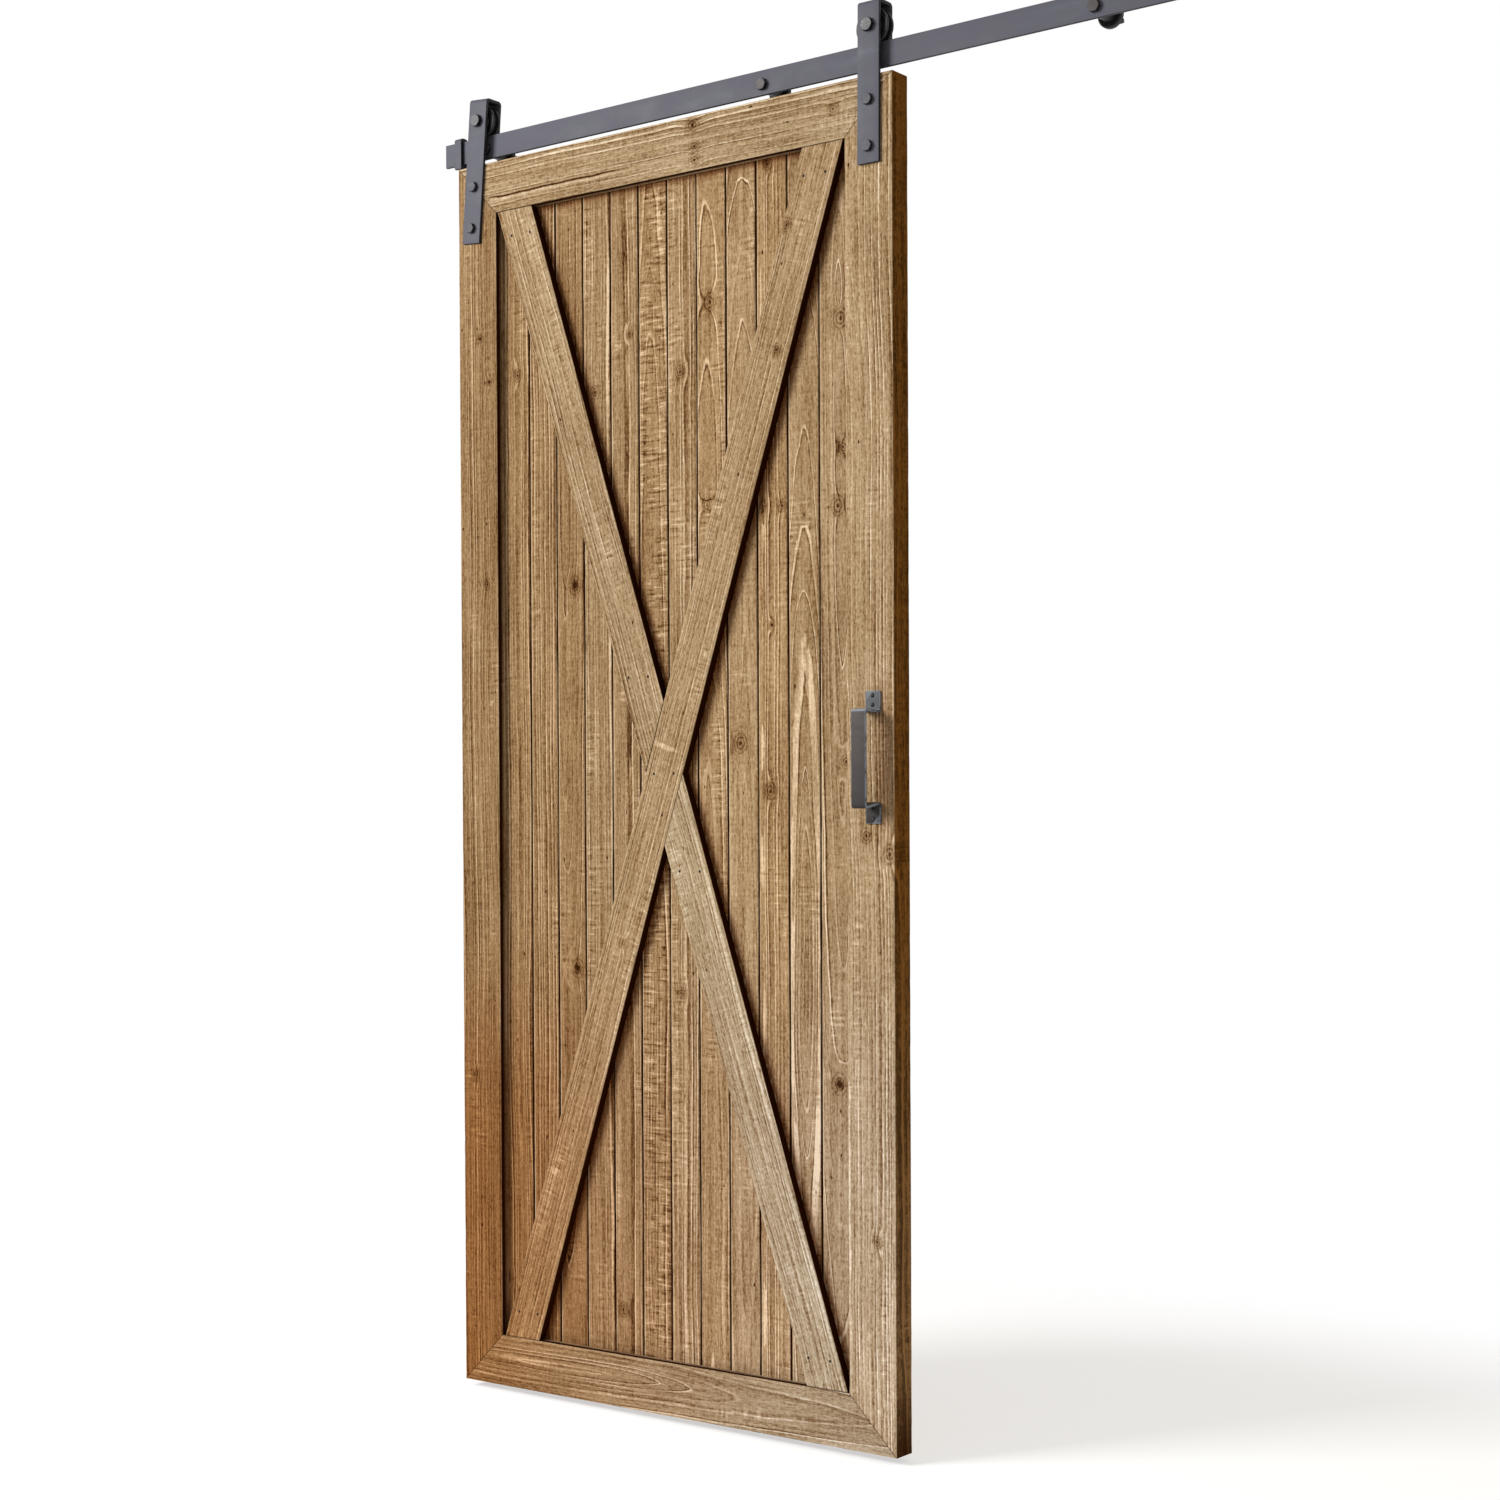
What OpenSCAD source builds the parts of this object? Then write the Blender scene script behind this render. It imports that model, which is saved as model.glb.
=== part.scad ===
// Sliding barn door with X braces, hung by two strap hangers from a flat steel track.
// Millimetres. Origin: middle of the row of wall bolts, on the wall plane.
// +X runs along the track, -Y faces the room, +Z is up. The door stands at the left of its travel.

/* [Track] */
// Length of the flat bar
rail_length = 2000; // [1700:10:2400]
// Height of the flat bar
rail_height = 40; // [34:1:60]
// Thickness of the flat bar
rail_thickness = 6; // [4:0.5:8]
// Number of wall bolts
wall_bolt_count = 4; // [3:1:5]
// Distance between the inner wall bolts
wall_bolt_pitch = 600; // [400:10:620]
// Distance from each end of the bar to its outer wall bolt
wall_bolt_end = 100; // [70:1:150]
// How far the bolt line lies below the middle of the bar
wall_bolt_drop = 3; // [0:0.5:6]
// Diameter of the wall bolt's plain shank
wall_bolt_d = 10; // [6:0.5:12]
// Diameter of the wall bolt's thread, over its flanks
wall_thread_d = 9.5; // [5:0.5:11]
// Width across flats of the wall bolt's head
wall_head_af = 17; // [14:0.5:20]
// Height of the wall bolt's head
wall_head_h = 6.5; // [4:0.5:8]
// Length of the thread in the wall, with its point
wall_bolt_reach = 38; // [25:1:60]
// Length of the thread's point
wall_point = 9; // [4:0.5:15]
// Length of the standoff between wall and bar
standoff_length = 45; // [40:1:70]
// Diameter of the standoff's neck
standoff_d = 24; // [18:0.5:28]
// Diameter of the standoff's wall flange
standoff_flange_d = 40; // [30:0.5:50]
// Thickness of the standoff's wall flange
standoff_flange_t = 8; // [3:0.5:12]
// Bevel on the front of the wall flange
standoff_bevel = 2; // [0.5:0.25:2.5]
// Play between a bolt's shank and its hole
bolt_play = 0.3; // [0.1:0.05:0.5]

/* [Stops] */
// Width of a stop along the track
stop_width = 16; // [10:0.5:30]
// Thickness of the stop's strap
stop_thickness = 6; // [4:0.5:8]
// Distance from the end of the bar to the stop
stop_inset = 27; // [5:0.5:60]
// How far the stop's legs reach below the bar
stop_drop = 8; // [4:0.5:8]
// Play between the stop's legs and the bar
stop_play = 0.2; // [0.1:0.05:0.5]
// Diameter of the grub screw that clamps a stop
grub_d = 6; // [4:0.5:8]
// Width across flats of the grub screw's socket
grub_socket_af = 3; // [1.5:0.5:3.5]

/* [Hangers] */
// Width of the strap
strap_width = 40; // [30:0.5:50]
// Thickness of the strap
strap_thickness = 5.5; // [4:0.5:8]
// Inner radius of the strap's folds
strap_bend_r = 1.5; // [0.5:0.25:4]
// Space between the strap's two legs
strap_gap = 27; // [24:0.5:32]
// How far the strap reaches below the top of the door
strap_drop = 136.5; // [125:0.5:200]
// Height of the back leg's end above the bar
back_leg_lift = 4; // [2:0.5:12]
// Distance from the left edge of the door to the left axle
left_axle_inset = 51.5; // [45:0.5:120]
// Distance from the right edge of the door to the right axle
right_axle_inset = 39.5; // [35:0.5:120]
// Lean of the left hanger about its axle, in degrees
left_hanger_lean = 4.7; // [0:0.1:5]
// Lean of the right hanger about its axle, in degrees
right_hanger_lean = 0.4; // [0:0.1:2]
// Distance from the top of the door to the first door bolt
door_bolt_first = 39; // [25:0.5:45]
// Distance between the two door bolts
door_bolt_pitch = 71.5; // [50:0.5:80]
// Diameter of the door bolts
door_bolt_d = 10; // [6:0.5:12]
// Width across flats of the door bolts' heads and nuts
door_head_af = 16; // [13:0.5:20]
// Height of the door bolts' heads
door_head_h = 6; // [4:0.5:8]
// Height of the nuts on the back of the door
door_nut_h = 7; // [4:0.5:9]
// Diameter of the washers on the back of the door
door_washer_d = 24; // [20:0.5:30]
// Thickness of the washers on the back of the door
door_washer_t = 2; // [1:0.25:3]

/* [Wheels] */
// Outer diameter of the wheel
wheel_d = 59; // [54:0.5:64]
// Diameter at the bottom of the wheel's groove
groove_d = 48; // [44:0.5:52]
// Width of the wheel
wheel_width = 18; // [14:0.5:19]
// Space between the bar and each side of the groove
groove_side = 0.8; // [0.5:0.1:2]
// Height at which the groove runs over the bar
wheel_ride = 0.3; // [0.3:0.05:1]
// Depth of the dish in each face of the wheel
wheel_dish = 2; // [0.5:0.25:3]
// Width of the rim outside the dish
wheel_rim = 5; // [3:0.5:8]
// Bevel on the edges of the wheel's flanges, at most a third of a flange
wheel_bevel = 1; // [0.25:0.25:1.5]
// Diameter of the hub inside the dish
wheel_hub_d = 28; // [22:0.5:34]
// Outer diameter of the wheel's bush
bush_d = 16; // [14:0.5:20]
// How far the bush stands out of each side of the wheel
bush_proud = 0.4; // [0.2:0.1:0.8]
// Diameter of the axle
axle_d = 10; // [8:0.5:12]
// Radial running clearance of the bush on its axle
axle_clearance = 0.05; // [0.02:0.01:0.1]
// Space between the bush and the washer at each side
wheel_end_play = 0.3; // [0.3:0.05:0.6]
// Outer diameter of the axle washers
axle_washer_d = 20; // [16:0.5:26]
// Width across flats of the axle's head and nut
axle_head_af = 19; // [14:0.5:22]
// Height of the axle's head
axle_head_h = 7; // [4:0.5:9]
// Height of the axle's nut
axle_nut_h = 8; // [4:0.5:10]
// Space between the wheel and the fold above it
wheel_top_gap = 3.5; // [0.5:0.25:6]

/* [Door] */
// Width of the door
door_width = 914.4; // [800:0.1:960]
// Height of the door
door_height = 2133.6; // [1900:0.1:2300]
// Thickness of the door's frame
door_thickness = 44.45; // [40:0.05:50]
// Gap between the top of the door and the bar
door_gap = 10.5; // [9:0.5:30]
// Distance from the left end of the bar to the left edge of the door
door_start = 40; // [30:1:400]
// Width of the frame's stiles and rails
frame_width = 89; // [80:0.5:110]
// Width of the open line at each mitre
mitre_gap = 0.4; // [0.1:0.05:1]
// Depth of the planks behind the front of the frame
panel_recess = 17.5; // [14:0.5:20]
// Depth of the groove that holds the planks
panel_groove = 12; // [8:0.5:14]
// Play of the planks in that groove, at each face and at its bottom
panel_play = 0.25; // [0.1:0.05:0.5]
// Diameter of the mitre dowels
dowel_d = 10; // [6:0.5:12]
// Length of the mitre dowels
dowel_length = 56; // [40:1:60]
// Wood left between a dowel and the nearest edge or groove
dowel_cover = 4; // [2:0.5:5]
// Play of the dowels in their holes
dowel_play = 0.1; // [0.05:0.01:0.2]

/* [Planks] */
// Thickness of a plank
plank_thickness = 16; // [12:0.5:18]
// Width of the seam between two planks
plank_seam = 0.9; // [0.3:0.1:2]
// Bevel on the front edges of a plank
plank_bevel = 1; // [0.5:0.1:2]
// Thickness of a plank's tongue
tongue_thickness = 5; // [3:0.5:6]
// Length of a plank's tongue
tongue_length = 6; // [4:0.5:8]
// Play of a tongue in its groove
tongue_play = 0.3; // [0.1:0.05:0.5]

/* [Braces] */
// Width of a brace
brace_width = 75; // [60:0.5:90]
// Thickness of a brace
brace_thickness = 17; // [12:0.5:19]
// Space between a brace's corner and the stile beside it
brace_corner = 3; // [1:0.5:12]
// Space between the long brace's foot and the left stile
long_foot_corner = 6.5; // [1:0.5:30]
// Open line where a brace meets a rail or the other brace
brace_joint = 0.4; // [0.1:0.05:1]
// Diameter of a nail's shank
nail_d = 2.2; // [1.4:0.1:3]
// Diameter of a nail's head
nail_head_d = 4.6; // [3.4:0.1:6]
// Thickness of a nail's head
nail_head_t = 1.2; // [0.6:0.1:2]
// Length of a nail
nail_length = 28; // [24:0.5:30]
// Distance of the nails from the end of a brace
nail_end = 45; // [35:0.5:80]
// Distance between the two nails of a pair
nail_pair = 42; // [25:0.5:50]
// Play of a nail in its hole
nail_play = 0.05; // [0.02:0.01:0.1]

/* [Handle] */
// Width of the handle's bar
handle_width = 27; // [20:0.5:36]
// Thickness of the handle's bar
handle_thickness = 4; // [3:0.25:6]
// Inner radius of the handle's folds
handle_bend_r = 1.5; // [0.5:0.25:3]
// Straight length of the grip
grip_length = 142; // [110:0.5:220]
// Space for the fingers behind the grip
handle_standoff = 40; // [30:0.5:55]
// Straight length of the upper foot
upper_foot = 28.5; // [28:0.5:40]
// Straight length of the lower foot
lower_foot = 28; // [28:0.5:40]
// Slope of the upper leg, in degrees
upper_leg_slope = 2.3; // [0:0.1:15]
// Slope of the lower leg, in degrees
lower_leg_slope = 10.6; // [0:0.1:15]
// Height of the middle of the grip above the foot of the door
handle_height = 1080; // [800:1:1300]
// Distance from the right edge of the door to the middle of the handle
handle_inset = 37; // [25:0.5:45]
// Diameter of the handle screws
handle_screw_d = 4.2; // [3:0.1:5]
// Diameter of the handle screws' heads
handle_screw_head_d = 7.4; // [6:0.1:9]
// Height of the handle screws' heads
handle_screw_head_h = 1.6; // [1:0.1:3]
// Length of the handle screws
handle_screw_length = 25; // [16:0.5:35]
// Distance of the outer screw from the end of a foot
handle_screw_first = 7; // [5:0.5:8]
// Distance between the two screws of a foot
handle_screw_pitch = 14.5; // [10:0.5:16]
// Play of a screw in its hole
screw_play = 0.1; // [0.05:0.01:0.3]

/* [Hidden] */
$fn = 48;

// Finishes
steel = "#5d5c66";
dark_steel = "#3a3838";
bronze = "#9a7a4a";
frame_wood = "#b28c60";
plank_wood = "#a47c4e";
brace_wood = "#ad875b";
dowel_wood = "#cdb48c";

// A cut runs past the face that it opens by this much.
past = 1;
// Flats in each fold of a strip
fold_parts = 6;
// Share of a hexagon's height that its corner bevel takes
hexagon_bevel = 0.15;
// Radius left at the tip of a wall bolt's point
wall_point_tip_r = 0.5;
// How far a bolt's thread stands out of its nut
bolt_end = 2;

// Planes of the track and the door
rail_back_y = -standoff_length;
rail_mid_y = rail_back_y - rail_thickness / 2;
rail_front_y = rail_back_y - rail_thickness;
rail_mid_z = wall_bolt_drop;
rail_top_z = rail_mid_z + rail_height / 2;
rail_bottom_z = rail_mid_z - rail_height / 2;
door_front_y = rail_mid_y - strap_gap / 2;
door_top_z = rail_bottom_z - door_gap;
door_bottom_z = door_top_z - door_height;
door_left_x = -rail_length / 2 + door_start;

// Wall bolts stand in one row: one near each end of the bar, and the inner ones about its middle.
outer_bolt_x = rail_length / 2 - wall_bolt_end;
middle_bolt = (wall_bolt_count - 1) / 2;
inner_bolt_x = [for (i = [1 : wall_bolt_count - 2]) (i - middle_bolt) * wall_bolt_pitch];
wall_bolt_x = concat([-outer_bolt_x], inner_bolt_x, [outer_bolt_x]);

// Stops sit at equal distances from the two ends of the bar.
stop_x = rail_length / 2 - stop_inset - stop_width / 2;
stop_gap = rail_thickness + 2 * stop_play;
stop_bend_r = stop_play;

// Wheels, with their axles in the door's own coordinates
axle_z = rail_top_z + wheel_ride + groove_d / 2;
left_axle_x = door_left_x + left_axle_inset;
right_axle_x = door_left_x + door_width - right_axle_inset;
axles = [[left_axle_x, left_hanger_lean], [right_axle_x, right_hanger_lean]];
bush_length = wheel_width + 2 * bush_proud;
axle_washer_t = (strap_gap - bush_length) / 2 - wheel_end_play;
bush_bore_r = axle_d / 2 + axle_clearance;

// Hangers are drawn about their axle, with the wheel's middle plane at y = 0.
strap_inner_top = wheel_d / 2 + wheel_top_gap;
front_leg_end = axle_z - door_top_z + strap_drop;
back_leg_end = axle_z - rail_top_z - back_leg_lift;
strap_front = -strap_gap / 2 - strap_thickness;
strap_back = strap_gap / 2 + strap_thickness;
door_bolt_fall = axle_z - door_top_z + door_bolt_first;
door_bolt_falls = [door_bolt_fall, door_bolt_fall + door_bolt_pitch];
door_back = -strap_gap / 2 + door_thickness;

// The panel's opening in the frame, in door coordinates from the lower left front corner
opening_left = frame_width;
opening_right = door_width - frame_width;
opening_bottom = frame_width;
opening_top = door_height - frame_width;
opening_width = opening_right - opening_left;
opening_height = opening_top - opening_bottom;
// One plank for each of the plank nodes
plank_count = 12;
plank_pitch = opening_width / plank_count;
plank_end = panel_groove - panel_play;
mitre_shift = mitre_gap / sqrt(2);
outer_dowel = (dowel_length + dowel_d) / 2 / sqrt(2) + dowel_cover;
inner_dowel = frame_width - panel_groove - (dowel_d / 2 + dowel_cover) * sqrt(2);

// Braces: middle lines from the lower rail to the upper rail
brace_bottom = opening_bottom + brace_joint;
brace_top = opening_top - brace_joint;
brace_rise = brace_top - brace_bottom;
long_half = brace_cut(opening_width - brace_corner - long_foot_corner) / 2;
long_foot_x = opening_left + long_foot_corner + long_half;
long_head_x = opening_right - brace_corner - long_half;
short_half = brace_cut(opening_width - 2 * brace_corner) / 2;
short_foot_x = opening_right - brace_corner - short_half;
short_head_x = opening_left + brace_corner + short_half;
long_slope = (long_head_x - long_foot_x) / brace_rise;
short_slope = (short_head_x - short_foot_x) / brace_rise;
crossing_z = brace_bottom + (short_foot_x - long_foot_x) / (long_slope - short_slope);
brace_front = panel_recess - brace_thickness;
joint_rise = brace_width / sqrt(1 + long_slope * long_slope);
nails = concat(
    nail_row(long_foot_x, long_slope, [brace_bottom + nail_end, crossing_z, brace_top - nail_end]),
    nail_row(short_foot_x, short_slope,
             [brace_bottom + nail_end, crossing_z - joint_rise - nail_end * 2,
              crossing_z + joint_rise + nail_end * 2, brace_top - nail_end])
);

// Handle, drawn in its own plane with x away from the door and y up
handle_outer_r = handle_bend_r + handle_thickness;
handle_x = door_width - handle_inset;
upper_leg = leg_length(upper_leg_slope);
lower_leg = leg_length(lower_leg_slope);
handle_top_z = handle_height + grip_length / 2 + leg_fall(upper_leg_slope, upper_leg) + upper_foot;
handle_bottom_z = handle_height - grip_length / 2 - leg_fall(lower_leg_slope, lower_leg) - lower_foot;
handle_screw_z = [
    handle_top_z - handle_screw_first,
    handle_top_z - handle_screw_first - handle_screw_pitch,
    handle_bottom_z + handle_screw_first,
    handle_bottom_z + handle_screw_first + handle_screw_pitch
];

// Level width of a brace cut along the rails, when its outer corners stand this far apart.
// The middle line shifts by the distance less the cut, so the cut w solves
// w = brace_width * sqrt(1 + ((span - w) / rise)^2); three passes settle it.
function brace_cut(span, w = brace_width, passes = 3) =
    passes == 0 ? w : brace_cut(span, brace_width * sqrt(1 + pow((span - w) / brace_rise, 2)), passes - 1);

// Pairs of nails side by side on a brace, one pair at each height
function nail_row(foot_x, slope, heights) = [
    for (z = heights)
        for (side = [-1, 1])
            [foot_x + slope * (z - brace_bottom) + side * nail_pair / 2, z]
];

// Straight length of a handle's leg between its two folds, and its drop from foot to grip
function leg_length(slope) =
    (handle_standoff - (handle_outer_r + handle_bend_r) * (1 + sin(slope))) / cos(slope);
function leg_fall(slope, run) = (handle_outer_r + handle_bend_r) * cos(slope) - run * sin(slope);

// Moves its children from door coordinates to their place on the track
module in_door() {
    translate([door_left_x, door_front_y, door_bottom_z]) children();
}

// Moves its children from hanger coordinates to one axle, turned by the hanger's lean
module at_axle(axle) {
    translate([axle[0], rail_mid_y, axle_z]) rotate([0, axle[1], 0]) children();
}

// Turns its children so that their z axis points at the wall
module to_wall(x, y, z) {
    translate([x, y, z]) rotate([-90, 0, 0]) children();
}

// Plate with an outline in x and z, from y0 back to y0 + thickness
module upright_plate(y0, thickness) {
    translate([0, y0 + thickness, 0]) rotate([90, 0, 0]) linear_extrude(thickness) children();
}

// One side of a folded strip seen on edge, at distance v left of its path. Each step is a straight run
// and the turn after it, left positive; a fold is an arc about a centre beside the strip.
function strip_side(steps, v, t, bend_r, i = 0, p = [0, 0], heading = 0) =
    i == len(steps) ? [] :
    let (
        run_end = p + steps[i][0] * [cos(heading), sin(heading)],
        left = [-sin(heading), cos(heading)],
        turn = steps[i][1],
        reach = turn > 0 ? t + bend_r : -bend_r,
        centre = run_end + reach * left,
        bearings = [for (k = [1 : fold_parts]) heading + turn * k / fold_parts],
        fold = [for (a = bearings) centre + (v - reach) * [-sin(a), cos(a)]],
        next = centre - reach * [-sin(heading + turn), cos(heading + turn)]
    )
    concat(
        [p + v * left, run_end + v * left],
        turn == 0 ? [] : [for (k = [0 : fold_parts - 2]) fold[k]],
        strip_side(steps, v, t, bend_r, i + 1, next, heading + turn)
    );

// Edge view of a folded strip: its right side out and its left side back
module folded_strip(steps, t, bend_r) {
    out = strip_side(steps, 0, t, bend_r);
    back = strip_side(steps, t, t, bend_r);
    polygon(concat(out, [for (i = [len(back) - 1 : -1 : 0]) back[i]]));
}

// Strap folded over: back leg up, across, front leg down, open below. Inner faces at y = -gap/2 and gap/2.
module strap_over(width, t, gap, bend_r, inner_top, back_end, front_end) {
    back_run = inner_top + back_end - bend_r;
    front_run = inner_top + front_end - bend_r;
    steps = [[back_run, -90], [gap - 2 * bend_r, -90], [front_run, 0]];
    translate([-width / 2, 0, 0]) rotate([90, 0, 90]) linear_extrude(width)
        translate([gap / 2, -back_end]) mirror([1, 0]) rotate(90) folded_strip(steps, t, bend_r);
}

// Hexagon head or nut with bevelled corners, from z = 0 up
module hexagon(af, h) {
    corner_r = af / 2 / cos(30);
    bevel_h = h * hexagon_bevel;
    intersection() {
        cylinder(h = h, r = corner_r, $fn = 6);
        union() {
            cylinder(h = h - bevel_h, r = corner_r);
            translate([0, 0, h - bevel_h]) cylinder(h = bevel_h, r1 = corner_r, r2 = af / 2);
        }
    }
}

// Bolt along z with its head below z = 0
module hexagon_bolt(d, length, af, head_h) {
    rotate([180, 0, 0]) hexagon(af, head_h);
    cylinder(h = length, r = d / 2);
}

// Ring along z
module ring(d_out, d_in, h) {
    difference() {
        cylinder(h = h, r = d_out / 2);
        translate([0, 0, -past]) cylinder(h = h + 2 * past, r = d_in / 2);
    }
}

// Nut along z
module nut(af, h, d) {
    difference() {
        hexagon(af, h);
        translate([0, 0, -past]) cylinder(h = h + 2 * past, r = d / 2);
    }
}

// Flat bar of the track with its row of holes
module track_rail() {
    color(steel) difference() {
        translate([-rail_length / 2, rail_front_y, rail_bottom_z])
            cube([rail_length, rail_thickness, rail_height]);
        for (x = wall_bolt_x)
            to_wall(x, rail_front_y - past, 0)
                cylinder(h = rail_thickness + 2 * past, r = wall_bolt_d / 2 + bolt_play);
    }
}

// Turned standoffs: neck against the bar, bevelled flange against the wall
module standoffs() {
    bore_r = wall_bolt_d / 2 + bolt_play;
    neck_r = standoff_d / 2;
    flange_r = standoff_flange_d / 2;
    flange_z = standoff_length - standoff_flange_t;
    color(dark_steel) for (x = wall_bolt_x)
        to_wall(x, rail_back_y, 0) rotate_extrude() polygon([
            [bore_r, 0], [neck_r, 0], [neck_r, flange_z], [flange_r - standoff_bevel, flange_z],
            [flange_r, flange_z + standoff_bevel], [flange_r, standoff_length], [bore_r, standoff_length]
        ]);
}

// Lag bolts: plain shank through bar and standoff, thread and point in the wall
module wall_bolts() {
    shank = rail_thickness + standoff_length;
    thread = wall_bolt_reach - wall_point;
    color(dark_steel) for (x = wall_bolt_x)
        to_wall(x, rail_front_y, 0) {
            hexagon_bolt(wall_bolt_d, shank, wall_head_af, wall_head_h);
            translate([0, 0, shank]) cylinder(h = thread, r = wall_thread_d / 2);
            translate([0, 0, shank + thread])
                cylinder(h = wall_point, r1 = wall_thread_d / 2, r2 = wall_point_tip_r);
        }
}

// Place of the two grub screws, in the middle of each stop's back leg
module grub_place(side) {
    to_wall(side * stop_x, rail_back_y + stop_play, rail_mid_z) children();
}

// Folded clip over the bar
module stop(side) {
    inner_top = rail_height / 2;
    leg_end = rail_height / 2 + stop_drop;
    color(steel) difference() {
        translate([side * stop_x, rail_mid_y, rail_mid_z])
            strap_over(stop_width, stop_thickness, stop_gap, stop_bend_r, inner_top, leg_end, leg_end);
        grub_place(side) translate([0, 0, -stop_play / 2])
            cylinder(h = stop_thickness + past, r = grub_d / 2);
    }
}

module left_stop() { stop(-1); }

module right_stop() { stop(1); }

// Grub screws that press on the back of the bar
module stop_screws() {
    length = stop_thickness + stop_play;
    socket = length / 2;
    color(dark_steel) for (side = [-1, 1])
        grub_place(side) translate([0, 0, -stop_play]) difference() {
            cylinder(h = length, r = grub_d / 2);
            translate([0, 0, length - socket])
                cylinder(h = socket + past, r = grub_socket_af / 2 / cos(30), $fn = 6);
        }
}

// Holes of a hanger's two door bolts, through the strap, the frame and all behind it
module door_bolt_holes(axle) {
    at_axle(axle) for (fall = door_bolt_falls)
        to_wall(0, strap_front - past, -fall)
            cylinder(h = door_thickness + strap_thickness + 2 * past, r = door_bolt_d / 2 + bolt_play);
}

// Hanger: strap folded over the wheel, with the front leg bolted to the face of the door
module hanger(axle) {
    color(steel) difference() {
        at_axle(axle) strap_over(strap_width, strap_thickness, strap_gap, strap_bend_r, strap_inner_top,
                                 back_leg_end, front_leg_end);
        at_axle(axle) to_wall(0, strap_front - past, 0)
            cylinder(h = strap_back - strap_front + 2 * past, r = axle_d / 2 + bolt_play);
        door_bolt_holes(axle);
    }
}

module left_hanger() { hanger(axles[0]); }

module right_hanger() { hanger(axles[1]); }

// Axles: bolts through both legs of each hanger
module axle_bolts() {
    length = strap_back - strap_front + axle_nut_h + bolt_end;
    color(dark_steel) for (axle = axles)
        at_axle(axle) to_wall(0, strap_front, 0)
            hexagon_bolt(axle_d, length, axle_head_af, axle_head_h);
}

// Washers that keep the wheel in the middle of its strap
module axle_washers() {
    color(steel) for (axle = axles)
        for (y = [-strap_gap / 2, strap_gap / 2 - axle_washer_t])
            at_axle(axle) to_wall(0, y, 0) ring(axle_washer_d, axle_d, axle_washer_t);
}

module axle_nuts() {
    color(dark_steel) for (axle = axles)
        at_axle(axle) to_wall(0, strap_back, 0) nut(axle_head_af, axle_nut_h, axle_d);
}

// Grooved wheel with a dish in each face: one side's outline, mirrored about its middle plane
module wheel(axle) {
    half = wheel_width / 2;
    groove_half = rail_thickness / 2 + groove_side;
    flange_r = wheel_d / 2;
    bevel = min(wheel_bevel, (half - groove_half) / 3);
    side = [
        [groove_d / 2, groove_half], [flange_r - bevel, groove_half + bevel],
        [flange_r, groove_half + 2 * bevel], [flange_r, half - bevel], [flange_r - bevel, half],
        [flange_r - wheel_rim, half], [flange_r - wheel_rim - wheel_dish, half - wheel_dish],
        [wheel_hub_d / 2 + wheel_dish, half - wheel_dish], [wheel_hub_d / 2, half], [bush_d / 2, half]
    ];
    other_side = [for (i = [len(side) - 1 : -1 : 0]) [side[i][0], -side[i][1]]];
    color(steel) to_wall(axle[0], rail_mid_y, axle_z) rotate_extrude() polygon(concat(side, other_side));
}

module left_wheel() { wheel(axles[0]); }

module right_wheel() { wheel(axles[1]); }

// Plain bush pressed into a wheel
module wheel_bush(axle) {
    color(bronze) to_wall(axle[0], rail_mid_y - bush_length / 2, axle_z)
        ring(bush_d, 2 * bush_bore_r, bush_length);
}

module left_wheel_bush() { wheel_bush(axles[0]); }

module right_wheel_bush() { wheel_bush(axles[1]); }

// Bolts through each strap's front leg and the frame
module door_bolts() {
    length = strap_thickness + door_thickness + door_washer_t + door_nut_h + bolt_end;
    color(dark_steel) for (axle = axles)
        for (fall = door_bolt_falls)
            at_axle(axle) to_wall(0, strap_front, -fall)
                hexagon_bolt(door_bolt_d, length, door_head_af, door_head_h);
}

module door_washers() {
    color(dark_steel) for (axle = axles)
        for (fall = door_bolt_falls)
            at_axle(axle) to_wall(0, door_back, -fall)
                ring(door_washer_d, door_bolt_d + 2 * bolt_play, door_washer_t);
}

module door_nuts() {
    color(dark_steel) for (axle = axles)
        for (fall = door_bolt_falls)
            at_axle(axle) to_wall(0, door_back + door_washer_t, -fall)
                nut(door_head_af, door_nut_h, door_bolt_d);
}

// Two dowels across each mitre, set in from the corner by equal steps in x and z
module dowel_pattern(r, length) {
    for (right = [0, 1])
        for (top = [0, 1])
            for (inset = [outer_dowel, inner_dowel])
                translate([right * door_width, door_thickness / 2, top * door_height])
                    mirror([right, 0, 0]) mirror([0, 0, top]) translate([inset, 0, inset])
                        rotate([0, -45, 0]) translate([0, 0, -length / 2]) cylinder(h = length, r = r);
}

// Groove round the inside of the frame that holds the planks
module panel_groove_cut() {
    upright_plate(panel_recess - panel_play, plank_thickness + 2 * panel_play)
        translate([opening_left - panel_groove, opening_bottom - panel_groove])
            square([opening_width + 2 * panel_groove, opening_height + 2 * panel_groove]);
}

// One member of the frame, from its mitred outline
module frame_member(outline) {
    color(frame_wood) difference() {
        in_door() difference() {
            upright_plate(0, door_thickness) polygon(outline);
            panel_groove_cut();
            dowel_pattern(dowel_d / 2 + dowel_play, dowel_length + 2 * dowel_play);
        }
        for (axle = axles) door_bolt_holes(axle);
        in_door() handle_screw_shanks(handle_screw_d / 2 + screw_play, handle_screw_length + screw_play);
    }
}

module left_stile() {
    frame_member([
        [0, mitre_shift], [frame_width, frame_width + mitre_shift],
        [frame_width, opening_top - mitre_shift], [0, door_height - mitre_shift]
    ]);
}

module right_stile() {
    frame_member([
        [door_width, mitre_shift], [opening_right, frame_width + mitre_shift],
        [opening_right, opening_top - mitre_shift], [door_width, door_height - mitre_shift]
    ]);
}

module top_rail() {
    frame_member([
        [0, door_height], [frame_width, opening_top],
        [opening_right, opening_top], [door_width, door_height]
    ]);
}

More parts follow.
